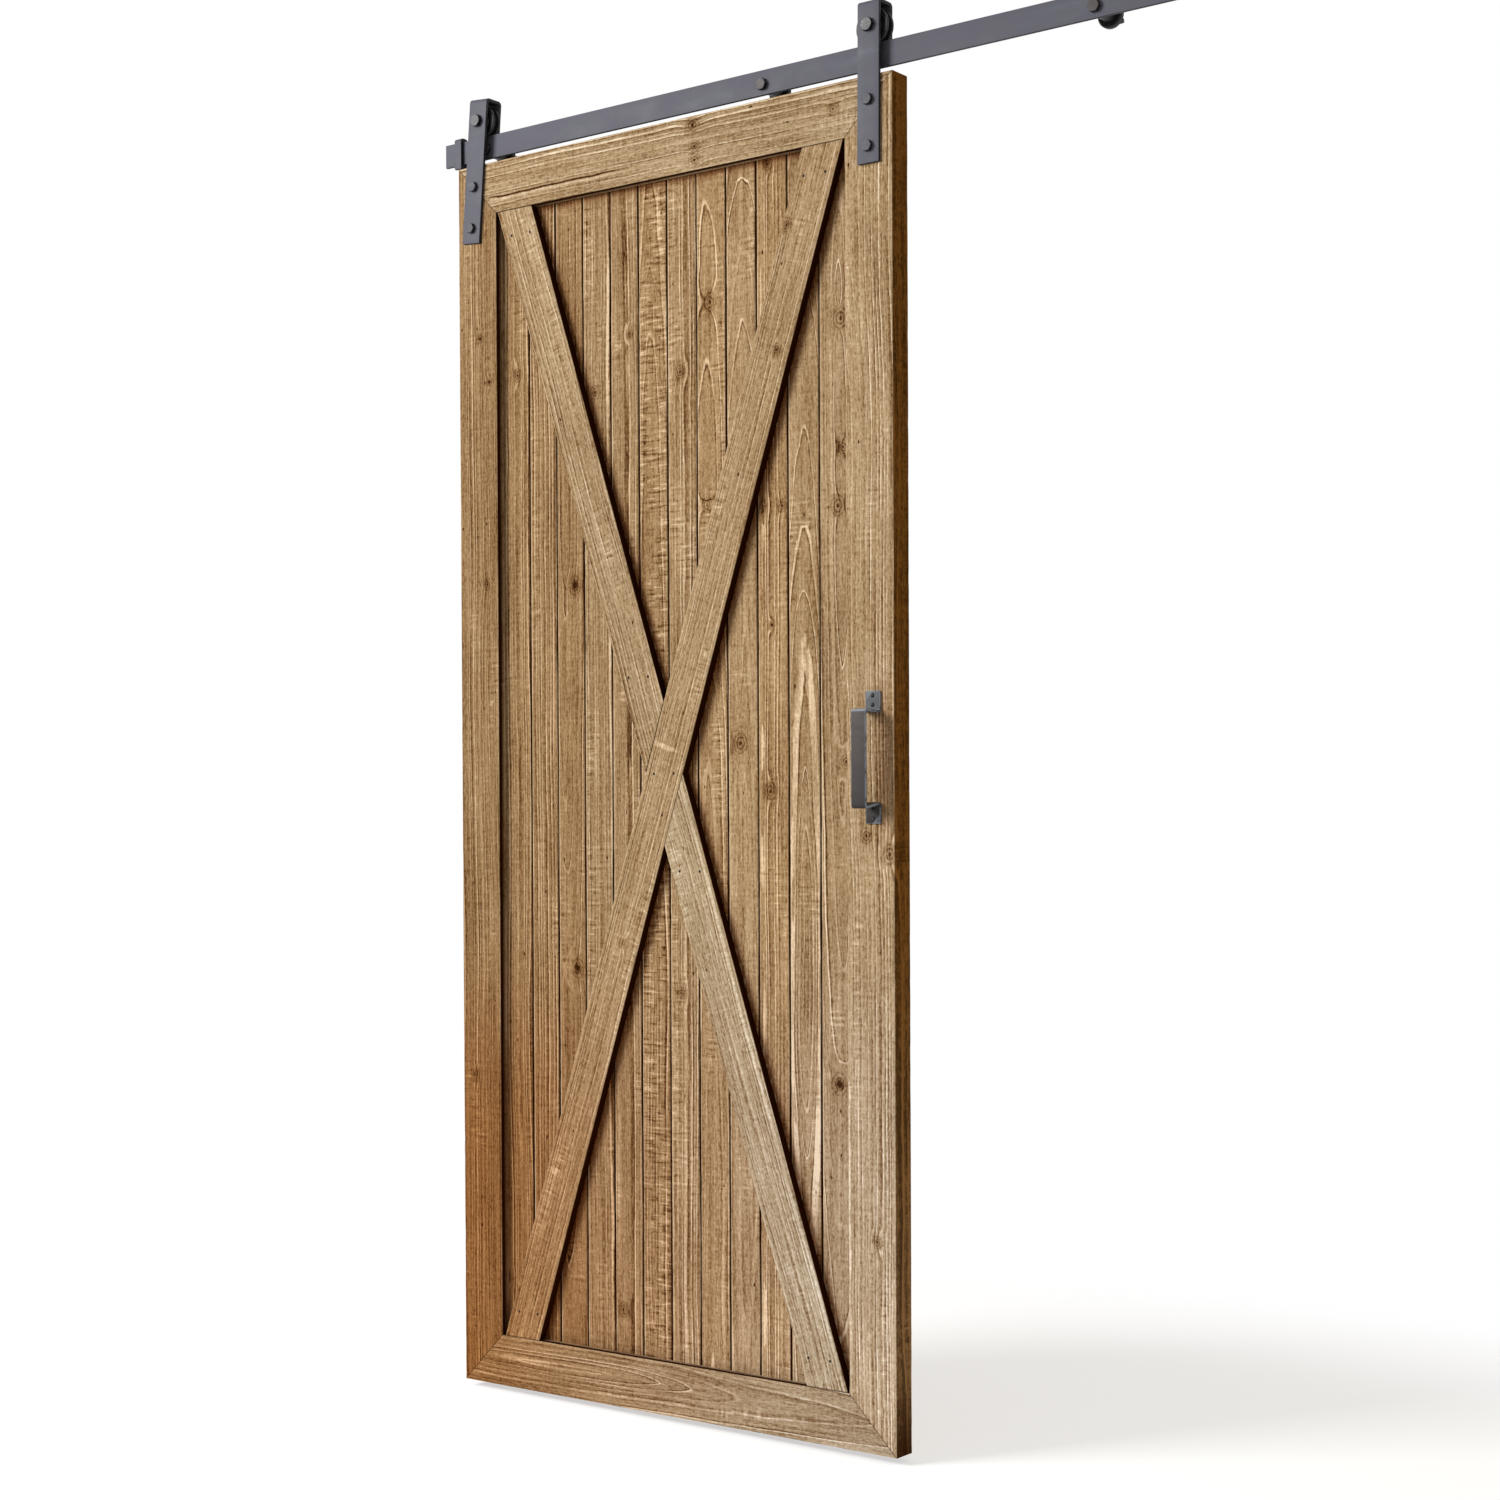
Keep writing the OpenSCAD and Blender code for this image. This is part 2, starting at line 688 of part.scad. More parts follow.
module bottom_rail() {
    frame_member([
        [0, 0], [frame_width, frame_width], [opening_right, frame_width], [door_width, 0]
    ]);
}

module corner_dowels() {
    color(dowel_wood) in_door() dowel_pattern(dowel_d / 2, dowel_length);
}

// Plank across its width: front at y = 0, groove at the left, tongue at the right.
// The first plank ends plain in the left stile's groove, the last one in the right stile's.
module plank(i) {
    first = i == 0;
    last = i == plank_count - 1;
    left = first ? -plank_end : plank_seam / 2;
    right = last ? plank_pitch + plank_end : plank_pitch - plank_seam / 2;
    tongue_front = (plank_thickness - tongue_thickness) / 2;
    tongue_back = tongue_front + tongue_thickness;
    tongue_tip = right + tongue_length;
    groove_tip = left + tongue_length - plank_seam + tongue_play;
    groove_front = tongue_front - tongue_play;
    groove_back = tongue_back + tongue_play;
    left_edge = first ? [] : [
        [left, groove_back], [groove_tip, groove_back], [groove_tip, groove_front], [left, groove_front]
    ];
    right_edge = last ? [] : [
        [right, tongue_front], [tongue_tip, tongue_front], [tongue_tip, tongue_back], [right, tongue_back]
    ];
    outline = concat(
        [[left, plank_bevel], [left + plank_bevel, 0], [right - plank_bevel, 0], [right, plank_bevel]],
        right_edge, [[right, plank_thickness], [left, plank_thickness]], left_edge
    );
    x0 = opening_left + i * plank_pitch;
    color(plank_wood) in_door() difference() {
        translate([x0, panel_recess, opening_bottom - plank_end])
            linear_extrude(opening_height + 2 * plank_end) polygon(outline);
        nail_holes(x0 + left - nail_d, x0 + tongue_tip + nail_d);
    }
}

module plank_01() { plank(0); }

module plank_02() { plank(1); }

module plank_03() { plank(2); }

module plank_04() { plank(3); }

module plank_05() { plank(4); }

module plank_06() { plank(5); }

module plank_07() { plank(6); }

module plank_08() { plank(7); }

module plank_09() { plank(8); }

module plank_10() { plank(9); }

module plank_11() { plank(10); }

module plank_12() { plank(11); }

// Outline of a brace between the rails, widened by a margin at each side
module brace_outline(foot_x, head_x, half, margin = 0) {
    w = half + margin;
    polygon([
        [foot_x - w, brace_bottom], [foot_x + w, brace_bottom],
        [head_x + w, brace_top], [head_x - w, brace_top]
    ]);
}

// One half of the second brace: above the long brace for side 1, below it for side -1
module half_brace(side) {
    color(brace_wood) in_door() difference() {
        upright_plate(brace_front, brace_thickness) intersection() {
            difference() {
                brace_outline(short_foot_x, short_head_x, short_half);
                brace_outline(long_foot_x, long_head_x, long_half, brace_joint);
            }
            translate([0, side > 0 ? crossing_z : 0]) square([door_width, door_height]);
            translate([0, side > 0 ? 0 : crossing_z - door_height]) square([door_width, door_height]);
        }
        nail_holes(0, door_width);
    }
}

module long_brace() {
    color(brace_wood) in_door() difference() {
        upright_plate(brace_front, brace_thickness) brace_outline(long_foot_x, long_head_x, long_half);
        nail_holes(0, door_width);
    }
}

module upper_brace() { half_brace(1); }

module lower_brace() { half_brace(-1); }

// Nail from its head's face back
module nail_shape(x, z, play, over = 0) {
    to_wall(x, brace_front - over, z) {
        cylinder(h = nail_head_t + over, r = nail_head_d / 2 + play);
        cylinder(h = nail_length + over + play, r = nail_d / 2 + play);
    }
}

// Holes of the nails whose middle lies between two places across the door
module nail_holes(x_min, x_max) {
    for (nail = nails)
        if (nail[0] >= x_min && nail[0] <= x_max) nail_shape(nail[0], nail[1], nail_play, past);
}

module brace_nails() {
    color(dark_steel) in_door() for (nail = nails) nail_shape(nail[0], nail[1], 0);
}

// Handle: foot, leg, grip, leg and foot folded from one flat bar
module handle() {
    steps = [
        [upper_foot, 90 + upper_leg_slope], [upper_leg, -90 - upper_leg_slope],
        [grip_length, -90 - lower_leg_slope], [lower_leg, 90 + lower_leg_slope], [lower_foot, 0]
    ];
    color(steel) in_door() difference() {
        translate([handle_x + handle_width / 2, 0, handle_top_z]) rotate([90, 0, -90])
            linear_extrude(handle_width) rotate(-90) folded_strip(steps, handle_thickness, handle_bend_r);
        translate([0, -handle_thickness, 0])
            handle_screw_shanks(handle_screw_d / 2 + screw_play, handle_thickness + past, past);
    }
}

// Shanks of the handle's screws, from y = 0 back
module handle_screw_shanks(r, length, over = 0) {
    for (z = handle_screw_z)
        to_wall(handle_x, -over, z) cylinder(h = length + over, r = r);
}

// Screws with domed heads: each a cap of the sphere that has the head's width and height
module handle_screws() {
    head_r = handle_screw_head_d / 2;
    dome_r = (pow(head_r, 2) + pow(handle_screw_head_h, 2)) / (2 * handle_screw_head_h);
    color(dark_steel) in_door() translate([0, -handle_thickness, 0]) {
        handle_screw_shanks(handle_screw_d / 2, handle_screw_length);
        for (z = handle_screw_z)
            to_wall(handle_x, -handle_screw_head_h, z) intersection() {
                translate([0, 0, dome_r]) sphere(r = dome_r);
                cylinder(h = handle_screw_head_h, r = head_r + past);
            }
    }
}

track_rail();
standoffs();
wall_bolts();
left_stop();
right_stop();
stop_screws();
left_hanger();
right_hanger();
axle_bolts();
axle_washers();
axle_nuts();
left_wheel();
left_wheel_bush();
right_wheel();
right_wheel_bush();
door_bolts();
door_washers();
door_nuts();
left_stile();
right_stile();
top_rail();
bottom_rail();
corner_dowels();
plank_01();
plank_02();
plank_03();
plank_04();
plank_05();
plank_06();
plank_07();
plank_08();
plank_09();
plank_10();
plank_11();
plank_12();
long_brace();
upper_brace();
lower_brace();
brace_nails();
handle();
handle_screws();
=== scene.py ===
"""Sliding barn door: stained and worn boards, satin steel track and hangers, on a white stage."""

import math
from typing import NamedTuple

import bpy
import numpy as np
from bpy.props import FloatProperty, FloatVectorProperty, PointerProperty
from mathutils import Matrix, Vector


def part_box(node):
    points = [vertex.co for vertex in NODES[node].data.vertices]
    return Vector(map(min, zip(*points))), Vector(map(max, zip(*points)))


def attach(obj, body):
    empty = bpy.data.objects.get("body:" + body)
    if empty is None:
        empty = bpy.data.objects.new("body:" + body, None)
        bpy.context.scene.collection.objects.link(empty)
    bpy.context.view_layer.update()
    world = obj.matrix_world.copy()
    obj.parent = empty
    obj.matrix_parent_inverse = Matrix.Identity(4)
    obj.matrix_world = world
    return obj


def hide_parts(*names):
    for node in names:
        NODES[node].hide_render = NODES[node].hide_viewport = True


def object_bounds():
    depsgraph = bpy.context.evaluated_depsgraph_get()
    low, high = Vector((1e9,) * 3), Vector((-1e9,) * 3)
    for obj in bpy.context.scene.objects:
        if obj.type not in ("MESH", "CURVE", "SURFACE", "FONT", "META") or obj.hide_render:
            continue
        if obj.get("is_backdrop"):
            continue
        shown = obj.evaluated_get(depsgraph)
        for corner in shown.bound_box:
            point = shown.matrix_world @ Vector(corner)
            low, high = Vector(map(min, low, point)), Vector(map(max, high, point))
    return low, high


bl_info = {
    "name": "Sliding Barn Door",
    "version": (1, 0, 0),
    "blender": (4, 5, 0),
    "location": "View3D > Sidebar > Barn Door",
    "description": "Dresses a sliding barn door with worn boards and satin steel",
    "category": "Add Mesh",
}

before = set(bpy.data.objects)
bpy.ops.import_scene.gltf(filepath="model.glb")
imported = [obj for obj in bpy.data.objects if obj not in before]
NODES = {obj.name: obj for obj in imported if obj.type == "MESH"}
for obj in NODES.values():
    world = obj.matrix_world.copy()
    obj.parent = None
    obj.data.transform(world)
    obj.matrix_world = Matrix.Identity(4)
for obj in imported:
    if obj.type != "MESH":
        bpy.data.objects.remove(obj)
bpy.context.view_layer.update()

DEPTH = np.array([0.0, 1.0, 0.0])
UPRIGHT = np.array([0.0, 0.0, 1.0])
LEVEL = np.array([1.0, 0.0, 0.0])
ARC_PARTS = 4
FOLD_PARTS = 10
BAR_STEP = 0.010
SHARP_ANGLE = math.radians(35)
# Corners of a CAD board that are closer than this lie on the same edge.
SAME_EDGE = 1e-4
# Boards lie this far apart along the grain coordinate, so that no two share a pattern.
BOARD_SPREAD = 6.0
# Each board draws its chips and hollows from a seed of its own, counted from this one.
FIRST_SEED = 40
# A surface whose outward direction is this close to the front is part of a board's face.
FACING_FRONT = 0.99
# Lengths over which chips come and go along an arris, and the width of a shallow hollow.
CHIP_RUNS = (0.05, 0.017)
HOLLOW_WIDTH = 0.035
# Shares of the door's height over which the painted light of the lower corners fades in towards the foot.
FOOT_TONE = (0.19, 0.44)
# How steeply the painted light of the lower corners (shade left, cooler light right) falls off across the
# door.
CORNER_FALL = 1.5
# What a warm stain takes from red, green and blue.
WARM_LOSS = np.array([0, 0.12, 0.28])
# How far the painted shade beside a raised board runs in under it, and past the board's ends.
SHADE_UNDER = 0.004
SHADE_PAST = 0.02
# Painted shadow of the handle: how far it reaches up and down from the handle's middle, and for each
# patch its place beside that middle, its width and its strength.
HANDLE_SHADOW_REACH = 0.13
HANDLE_SHADOW_PATCHES = ((0.018, 0.014, 1.0), (-0.024, 0.010, 0.6))
# A knot's distance is measured across the grain, through the board and along the grain in these shares.
KNOT_SHAPE = np.array([1, 0, 0.8])
# Distance, in knot radii, that stands for no knot at all.
NO_KNOT = 60.0
# Lightness of stained wood before its marks, and its roughness.
WOOD_LIGHTNESS = 0.49
WOOD_ROUGHNESS = 0.68
# Distances off the door at which the handle starts to take the colour of its feet, and has taken it.
FEET_START = 0.0085
FEET_FULL = 0.0045
# Worn patches of steel have its red, green and blue times these shares.
WORN_TINT = (1.2, 1.35, 1.35)
FLOOR_GREY = 0.72
FLOOR_GLOW = 0.55


class Timber(NamedTuple):
    """How one board came out: how light and how warm its stain is, the lightness being partly painted
    shade that darkens the boards towards the left of the door, where the log's pith lies across the
    board's middle and behind its face in metres, how that depth grows along the grain, and how much the
    saw marks show."""

    light: float
    warm: float
    pith_across: float
    pith_depth: float
    taper: float
    sawn: float


# The lightness of each board is partly its own stain and partly painted shade, darker towards the left.
TIMBER = {
    "left_stile": Timber(0.76, 0.37, 0.095, 0.030, 0.000, 0.30),
    "right_stile": Timber(1.09, -0.68, -0.056, 0.024, 0.020, 0.30),
    "top_rail": Timber(1.00, -0.78, 0.070, 0.020, 0.015, 0.25),
    "bottom_rail": Timber(0.87, -0.75, -0.006, 0.014, 0.060, 0.15),
    "plank_01": Timber(0.82, 0.41, 0.060, 0.020, 0.000, 0.35),
    "plank_02": Timber(0.82, 0.34, -0.055, 0.015, 0.010, 0.35),
    "plank_03": Timber(0.80, 0.40, -0.012, 0.022, -0.030, 0.40),
    "plank_04": Timber(0.89, -0.14, 0.056, 0.020, 0.000, 0.50),
    "plank_05": Timber(0.89, -0.05, -0.050, 0.018, 0.010, 0.40),
    "plank_06": Timber(0.92, 0.12, -0.006, 0.020, 0.030, 1.00),
    "plank_07": Timber(0.95, -0.18, 0.058, 0.020, 0.008, 0.55),
    "plank_08": Timber(0.99, 0.00, -0.010, 0.030, 0.025, 0.50),
    "plank_09": Timber(1.02, -0.30, 0.003, 0.018, 0.050, 0.40),
    "plank_10": Timber(0.98, 0.19, 0.055, 0.018, 0.006, 0.35),
    "plank_11": Timber(0.955, -0.20, 0.000, 0.020, 0.062, 0.40),
    "plank_12": Timber(0.98, -0.36, 0.004, 0.020, -0.050, 0.35),
    "long_brace": Timber(1.00, -0.43, -0.080, 0.020, 0.006, 0.35),
    "upper_brace": Timber(0.98, -0.65, 0.075, 0.025, 0.010, 0.35),
    "lower_brace": Timber(1.07, -1.35, -0.070, 0.020, 0.006, 0.45),
}

# Knots of each board: place along the grain in the shared frame, place across from its middle, radius.
KNOTS = {
    "left_stile": [(-0.760, 0.020, 0.004), (-1.620, -0.015, 0.004)],
    "right_stile": [(-1.228, 0.036, 0.006), (-1.200, -0.008, 0.005), (-1.830, 0.010, 0.004)],
    "top_rail": [
        (-0.435, -0.029, 0.0055), (-0.431, 0.005, 0.0045), (-0.431, 0.028, 0.005),
        (-0.155, -0.004, 0.0045)],
    "plank_01": [(-1.972, -0.024, 0.004), (-0.400, 0.008, 0.0045)],
    "plank_04": [(-0.449, -0.005, 0.0045)],
    "plank_05": [(-2.000, -0.014, 0.005), (-0.360, 0.010, 0.003)],
    "plank_07": [(-1.460, -0.010, 0.004), (-0.436, -0.005, 0.0045)],
    "plank_08": [(-0.330, -0.003, 0.006), (-0.659, -0.011, 0.005)],
    "plank_09": [(-1.050, -0.006, 0.0065)],
    "plank_10": [
        (-0.126, -0.008, 0.004), (-0.670, -0.021, 0.004), (-0.673, 0.018, 0.004),
        (-1.128, -0.007, 0.0055)],
    "plank_12": [
        (-0.389, 0.004, 0.0065), (-0.591, 0.008, 0.0045), (-0.682, -0.002, 0.0065),
        (-1.084, 0.012, 0.0045)],
    "long_brace": [(-0.299, -0.029, 0.0045), (-0.490, 0.012, 0.004), (-1.495, 0.002, 0.0035)],
}
# Dark knots, given in the same way.
DARK_KNOTS = {
    "left_stile": [(-0.331, 0.006, 0.003), (-0.408, 0.027, 0.003)],
    "plank_03": [(-0.772, 0.009, 0.0065), (-1.426, 0.011, 0.0065)],
    "plank_10": [(-0.862, -0.003, 0.003)],
    "plank_11": [(-0.691, 0.000, 0.0025)],
    "plank_12": [(-1.591, -0.003, 0.007)],
}
# Long cracks: where each starts and ends along the grain, and its place across.
SHAKES = {"top_rail": (-0.90, -0.53, 0.017)}
# Pale scars: place along the grain, place across, and half their extent across and along.
SCARS = {
    "long_brace": (-1.156, -0.012, 0.034, 0.0055),
    "bottom_rail": (-0.822, -0.007, 0.0055, 0.080),
}


def length_setting(name, default, description):
    """A length in metres that a user can change."""
    return FloatProperty(name=name, description=description, default=default, unit="LENGTH")


def angle_setting(name, degrees, description):
    """An angle that a user can change."""
    return FloatProperty(
        name=name, description=description, default=math.radians(degrees), subtype="ANGLE")


def colour_setting(name, default, description, **limits):
    """A colour that a user can change."""
    return FloatVectorProperty(
        name=name, description=description, default=default, subtype="COLOR", **limits)


class BoardSettings(bpy.types.PropertyGroup):
    """Sizes of the boards' sections and of their wear."""

    arris: length_setting("Arris", 0.0022, "Radius of the worn edges of frame boards and braces")
    plank_arris: length_setting("Plank Arris", 0.0013, "Radius of the front edges of the planks")
    chip: length_setting("Chips", 0.0014, "Depth of the deepest chips along an edge")
    relief: length_setting("Relief", 0.0004, "Depth of the shallow hollows in a board's face")
    step: length_setting("Step", 0.008, "Distance between the mesh lines of a board")
    groove_front: length_setting(
        "Groove Front", 0.01725, "Distance from the frame's face to the panel groove")
    groove_width: length_setting("Groove Width", 0.0165, "Width of the panel groove")
    groove_depth: length_setting("Groove Depth", 0.012, "Depth of the panel groove")
    tongue_length: length_setting("Tongue Length", 0.006, "Length of a plank's tongue")
    tongue_thickness: length_setting("Tongue Thickness", 0.005, "Thickness of a plank's tongue")
    tongue_play: length_setting("Tongue Play", 0.0003, "Play of a tongue in its groove")


class WoodSettings(bpy.types.PropertyGroup):
    """Colours and ring widths of the stained wood."""

    deepest: colour_setting(
        "Deepest Grain", (0.048, 0.016, 0.005), "Colour of knots, pits and the darkest grain")
    deep: colour_setting("Deep Grain", (0.198, 0.099, 0.037), "Colour of the dark streaks")
    mid: colour_setting("Stain", (0.386, 0.248, 0.124), "Main colour of the stain")
    light: colour_setting("Light Grain", (0.557, 0.385, 0.223), "Colour of the light streaks")
    pale: colour_setting(
        "Pale Rings", (0.84, 0.635, 0.415), "Colour of the brushed pale rings and worn edges")
    # The outer sides are dark with stain together with painted shade.
    side: colour_setting("Sides", (0.160, 0.060, 0.0105), "Colour of the dark stain and painted shade on the outer sides")
    low_side: colour_setting(
        "Low Sides", (0.172, 0.078, 0.024), "Colour of the outer sides at the foot of the door")
    # Dark stain of the seams, also used as painted shade on inner sides, on plank and brace sides and at
    # the planks' right arrises.
    seam: colour_setting(
        "Seams And Shade", (0.026, 0.006, 0.001), "Colour of the stain in seams and the painted shade on inner sides")
    # Painted light of the lower corners: shade at the left, a cooler, paler light at the right.
    shade_low_left: colour_setting(
        "Low Left", (0.76, 0.52, 0.33), "Share of the stain's colour left at the lower left corner")
    light_low_right: colour_setting(
        "Low Right", (1.02, 1.10, 1.30), "Share of the stain's colour left at the lower right corner",
        max=2.0)
    # Painted shade beside the braces and under the top rail, as a share of the stain's colour.
    painted_shade: colour_setting(
        "Painted Shade", (0.48, 0.23, 0.095), "Share of the stain's colour left in the painted shade beside braces and rail")
    # Painted shadow that the handle casts on the right stile, as a share of the stain's colour.
    handle_shadow: colour_setting(
        "Handle Shadow", (0.66, 0.54, 0.48), "Share of the stain's colour left in the painted shadow beside the handle")
    shade_reach: length_setting("Shade Reach", 0.025, "How far the painted shade reaches from a brace")
    dark_foot_reach: length_setting(
        "Dark Foot Reach", 0.13, "How far the dark foot of the outer sides reaches up")
    frame_rings: length_setting("Frame Rings", 0.0072, "Width of a growth ring in the frame boards")
    plank_rings: length_setting("Plank Rings", 0.0080, "Width of a growth ring in the planks")
    brace_rings: length_setting("Brace Rings", 0.0068, "Width of a growth ring in the braces")


class SteelSettings(bpy.types.PropertyGroup):
    """Colours of the steel, and the sizes of its folded bars."""

    satin: colour_setting(
        "Satin Steel", (0.079, 0.079, 0.103), "Colour of the track, hangers and stops")
    # Painted shade on the narrow sides of the bars and on the sides of bolt heads.
    painted_side_shade: colour_setting(
        "Painted Side Shade", (0.014, 0.013, 0.015), "Colour of the narrow sides of the bars")
    iron: colour_setting("Handle Iron", (0.047, 0.038, 0.036), "Colour of the handle")
    fastener: colour_setting(
        "Fasteners", (0.016, 0.015, 0.016), "Colour of screws, nuts, wheels and standoffs")
    nail: colour_setting("Nails", (0.010, 0.006, 0.004), "Colour of the nail heads")
    # Bare steel at rubbed edges, also used as a painted highlight on the upward folds of the handle.
    bare: colour_setting(
        "Bare Edges", (0.27, 0.31, 0.37), "Colour of the steel where its edges are rubbed bare")
    feet: colour_setting(
        "Handle Feet", (0.095, 0.103, 0.112), "Colour of the handle's feet, which are paler")
    bronze: colour_setting("Bushes", (0.36, 0.22, 0.09), "Colour of the wheel bushes")
    edge: length_setting("Edge", 0.0008, "Radius of the eased edges of the bars")
    fold: length_setting("Fold", 0.0015, "Inner radius of the folds of straps and handle")
    strap_width: length_setting("Strap Width", 0.040, "Width of the hanger straps")
    strap_thickness: length_setting("Strap Thickness", 0.0055, "Thickness of the hanger straps")
    strap_rise: length_setting(
        "Strap Rise", 0.033, "Distance from the axle to the inside of the fold above it")
    strap_drop: length_setting(
        "Strap Drop", 0.2113, "Distance from the axle to the lower end of the front leg")
    strap_tail: length_setting(
        "Strap Tail", 0.0203, "Distance from the axle to the lower end of the back leg")
    left_lean: angle_setting("Left Lean", 4.7, "How far the left hanger hangs askew")
    right_lean: angle_setting("Right Lean", 0.4, "How far the right hanger hangs askew")
    stop_thickness: length_setting("Stop Thickness", 0.006, "Thickness of the stops")
    stop_fold: length_setting("Stop Fold", 0.0002, "Inner radius of the folds of the stops")
    handle_thickness: length_setting("Handle Thickness", 0.004, "Thickness of the handle's bar")
    finger_gap: length_setting("Finger Gap", 0.040, "Space for the fingers behind the grip")
    grip: length_setting("Grip", 0.142, "Straight length of the handle's grip")
    upper_foot: length_setting("Upper Foot", 0.0285, "Straight length of the handle's upper foot")
    lower_foot: length_setting("Lower Foot", 0.028, "Straight length of the handle's lower foot")
    upper_slope: angle_setting("Upper Slope", 2.3, "Slope of the handle's upper leg")
    lower_slope: angle_setting("Lower Slope", 10.6, "Slope of the handle's lower leg")


class StageSettings(bpy.types.PropertyGroup):
    """Camera, lamps and floor."""

    camera_place: FloatVectorProperty(
        name="Camera Place", description="Where the camera stands",
        default=(1.9987, -3.1399, -1.1795), subtype="TRANSLATION")
    camera_turn: FloatVectorProperty(
        name="Camera Turn", description="How the camera is turned",
        default=(math.radians(89.16), math.radians(0.26), math.radians(37.03)), subtype="EULER")
    lens: FloatProperty(
        name="Lens", description="Focal length in millimetres",
        default=57.6)
    rise: FloatProperty(
        name="Rise", description="Upward shift of the picture, as a share of its width",
        default=0.0723)
    key_place: FloatVectorProperty(
        name="Key Place", description="Where the main lamp hangs",
        default=(-3.3, -4.0, 1.0), subtype="TRANSLATION")
    key_size: length_setting("Key Size", 2.2, "Width of the main lamp")
    key_power: FloatProperty(
        name="Key Power", description="Power of the main lamp",
        default=262.0, unit="POWER")
    ambient: colour_setting("Ambient", (0.385, 0.362, 0.328), "Soft light from all round")
    floor_gap: length_setting("Floor Gap", 0.012, "Space between the floor and the foot of the door")
    floor_reach: length_setting(
        "Floor Reach", 1.6, "Distance over which the floor fades into the backdrop")


# What the CAD nodes measure

def corners_of(node):
    """The corners of a CAD node at rest, as rows of x, y and z in metres."""
    vertices = NODES[node].data.vertices
    flat = np.empty(len(vertices) * 3, np.float32)
    vertices.foreach_get("co", flat)
    return flat.reshape(-1, 3).astype(float)


def box_of(node):
    """The low and the high corner of a CAD node's box."""
    return [np.array(corner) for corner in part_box(node)]


def middle_of(node):
    """Middle of a CAD node's box."""
    low, high = box_of(node)
    return (low + high) / 2


def thickness_of(node):
    """How deep a CAD node is from its front to its back."""
    y = corners_of(node)[:, 1]
    return y.max() - y.min()


# Meshes of the boards

def grain_start(board):
    """Where a board starts along the grain coordinate."""
    return list(TIMBER).index(board) * BOARD_SPREAD


def wander(rng, places, step):
    """Smooth random values from 0 to 1: random marks one step apart, joined by f*f*(3 - 2f)."""
    t = (places - places.min()) / step
    mark = t.astype(int)
    f = t - mark
    f = f * f * (3 - 2 * f)
    marks = rng.random(mark.max() + 2)
    return marks[mark] * (1 - f) + marks[mark + 1] * f


def hollows(rng, along, across, step):
    """Smooth random relief from 0 to 1 over two coordinates: a grid of marks joined by f*f*(3 - 2f)."""
    s = (along - along.min()) / step
    t = (across - across.min()) / step
    row = s.astype(int)
    column = t.astype(int)
    f = s - row
    g = t - column
    f = f * f * (3 - 2 * f)
    g = g * g * (3 - 2 * g)
    marks = rng.random((row.max() + 2, column.max() + 2))
    low = marks[row, column] * (1 - g) + marks[row, column + 1] * g
    high = marks[row + 1, column] * (1 - g) + marks[row + 1, column + 1] * g
    return low * (1 - f) + high * f


class Section(NamedTuple):
    """Closed outline of a board's section, with what each of its points is."""

    points: np.ndarray
    normals: np.ndarray
    arris: np.ndarray
    corner: np.ndarray


def section(corners, rounds, step):
    """Outline through corners in order: a corner with a round r becomes the quarter circle
    centre - r*(cos(a)*after + sin(a)*before), and straight stretches are divided about every step."""
    corners = np.asarray(corners, float)
    rows = []
    for k, (here, r) in enumerate(zip(corners, rounds)):
        before = corners[k - 1] - here
        after = corners[(k + 1) % len(corners)] - here
        before /= np.linalg.norm(before)
        after /= np.linalg.norm(after)
        a = np.linspace(0, math.pi / 2, ARC_PARTS + 1) if r else np.array([math.pi / 4])
        turn = np.cos(a)[:, None] * after + np.sin(a)[:, None] * before
        points = here + r * (before + after) - r * turn
        share = np.sin(2 * a) if r else np.zeros(1)
        rows.append(np.column_stack([points, -turn, share, np.full(len(a), k)]))
    filled = []
    for k, row in enumerate(rows):
        start = row[-1]
        end = rows[(k + 1) % len(rows)][0]
        run = end[:2] - start[:2]
        count = max(int(np.linalg.norm(run) / step), 1)
        share = np.arange(1, count)[:, None] / count
        normal = np.array([run[1], -run[0]]) / np.linalg.norm(run)
        plain = np.column_stack([
            start[:2] + share * run, np.tile(normal, (count - 1, 1)), np.zeros((count - 1, 2))])
        filled += [row, plain]
    table = np.vstack(filled)
    return Section(table[:, :2], table[:, 2:4], table[:, 4], table[:, 5])


def board_section(low, high, thickness, sizes, arris, groove_side=0):
    """Plain board from v = low to high, with a panel groove in its low side (-1), its high side (1) or
    none (0)."""
    front = sizes.groove_front
    back = front + sizes.groove_width
    deep = sizes.groove_depth
    high_groove = [(high, front), (high - deep, front), (high - deep, back), (high, back)]
    low_groove = [(low, back), (low + deep, back), (low + deep, front), (low, front)]
    corners = [(low, 0), (high, 0)]
    corners += high_groove if groove_side > 0 else []
    corners += [(high, thickness), (low, thickness)]
    corners += low_groove if groove_side < 0 else []
    rounded = {(low, 0), (high, 0), (high, thickness), (low, thickness)}
    return section(corners, [arris if c in rounded else 0 for c in corners], sizes.step)


def plank_section(low, high, thickness, sizes, tongue, groove):
    """Plank from v = low to high, with a tongue out of its high side and a groove in its low side."""
    half = sizes.tongue_thickness / 2
    middle = thickness / 2
    tip = high + sizes.tongue_length
    wide = half + sizes.tongue_play
    deep = low + sizes.tongue_length
    corners = [(low, 0), (high, 0)]
    if tongue:
        near, far = middle - half, middle + half
        corners += [(high, near), (tip, near), (tip, far), (high, far)]
    corners += [(high, thickness), (low, thickness)]
    if groove:
        near, far = middle - wide, middle + wide
        corners += [(low, far), (deep, far), (deep, near), (low, near)]
    rounds = [sizes.plank_arris if c in corners[:2] else 0 for c in corners]
    return section(corners, rounds, sizes.step)


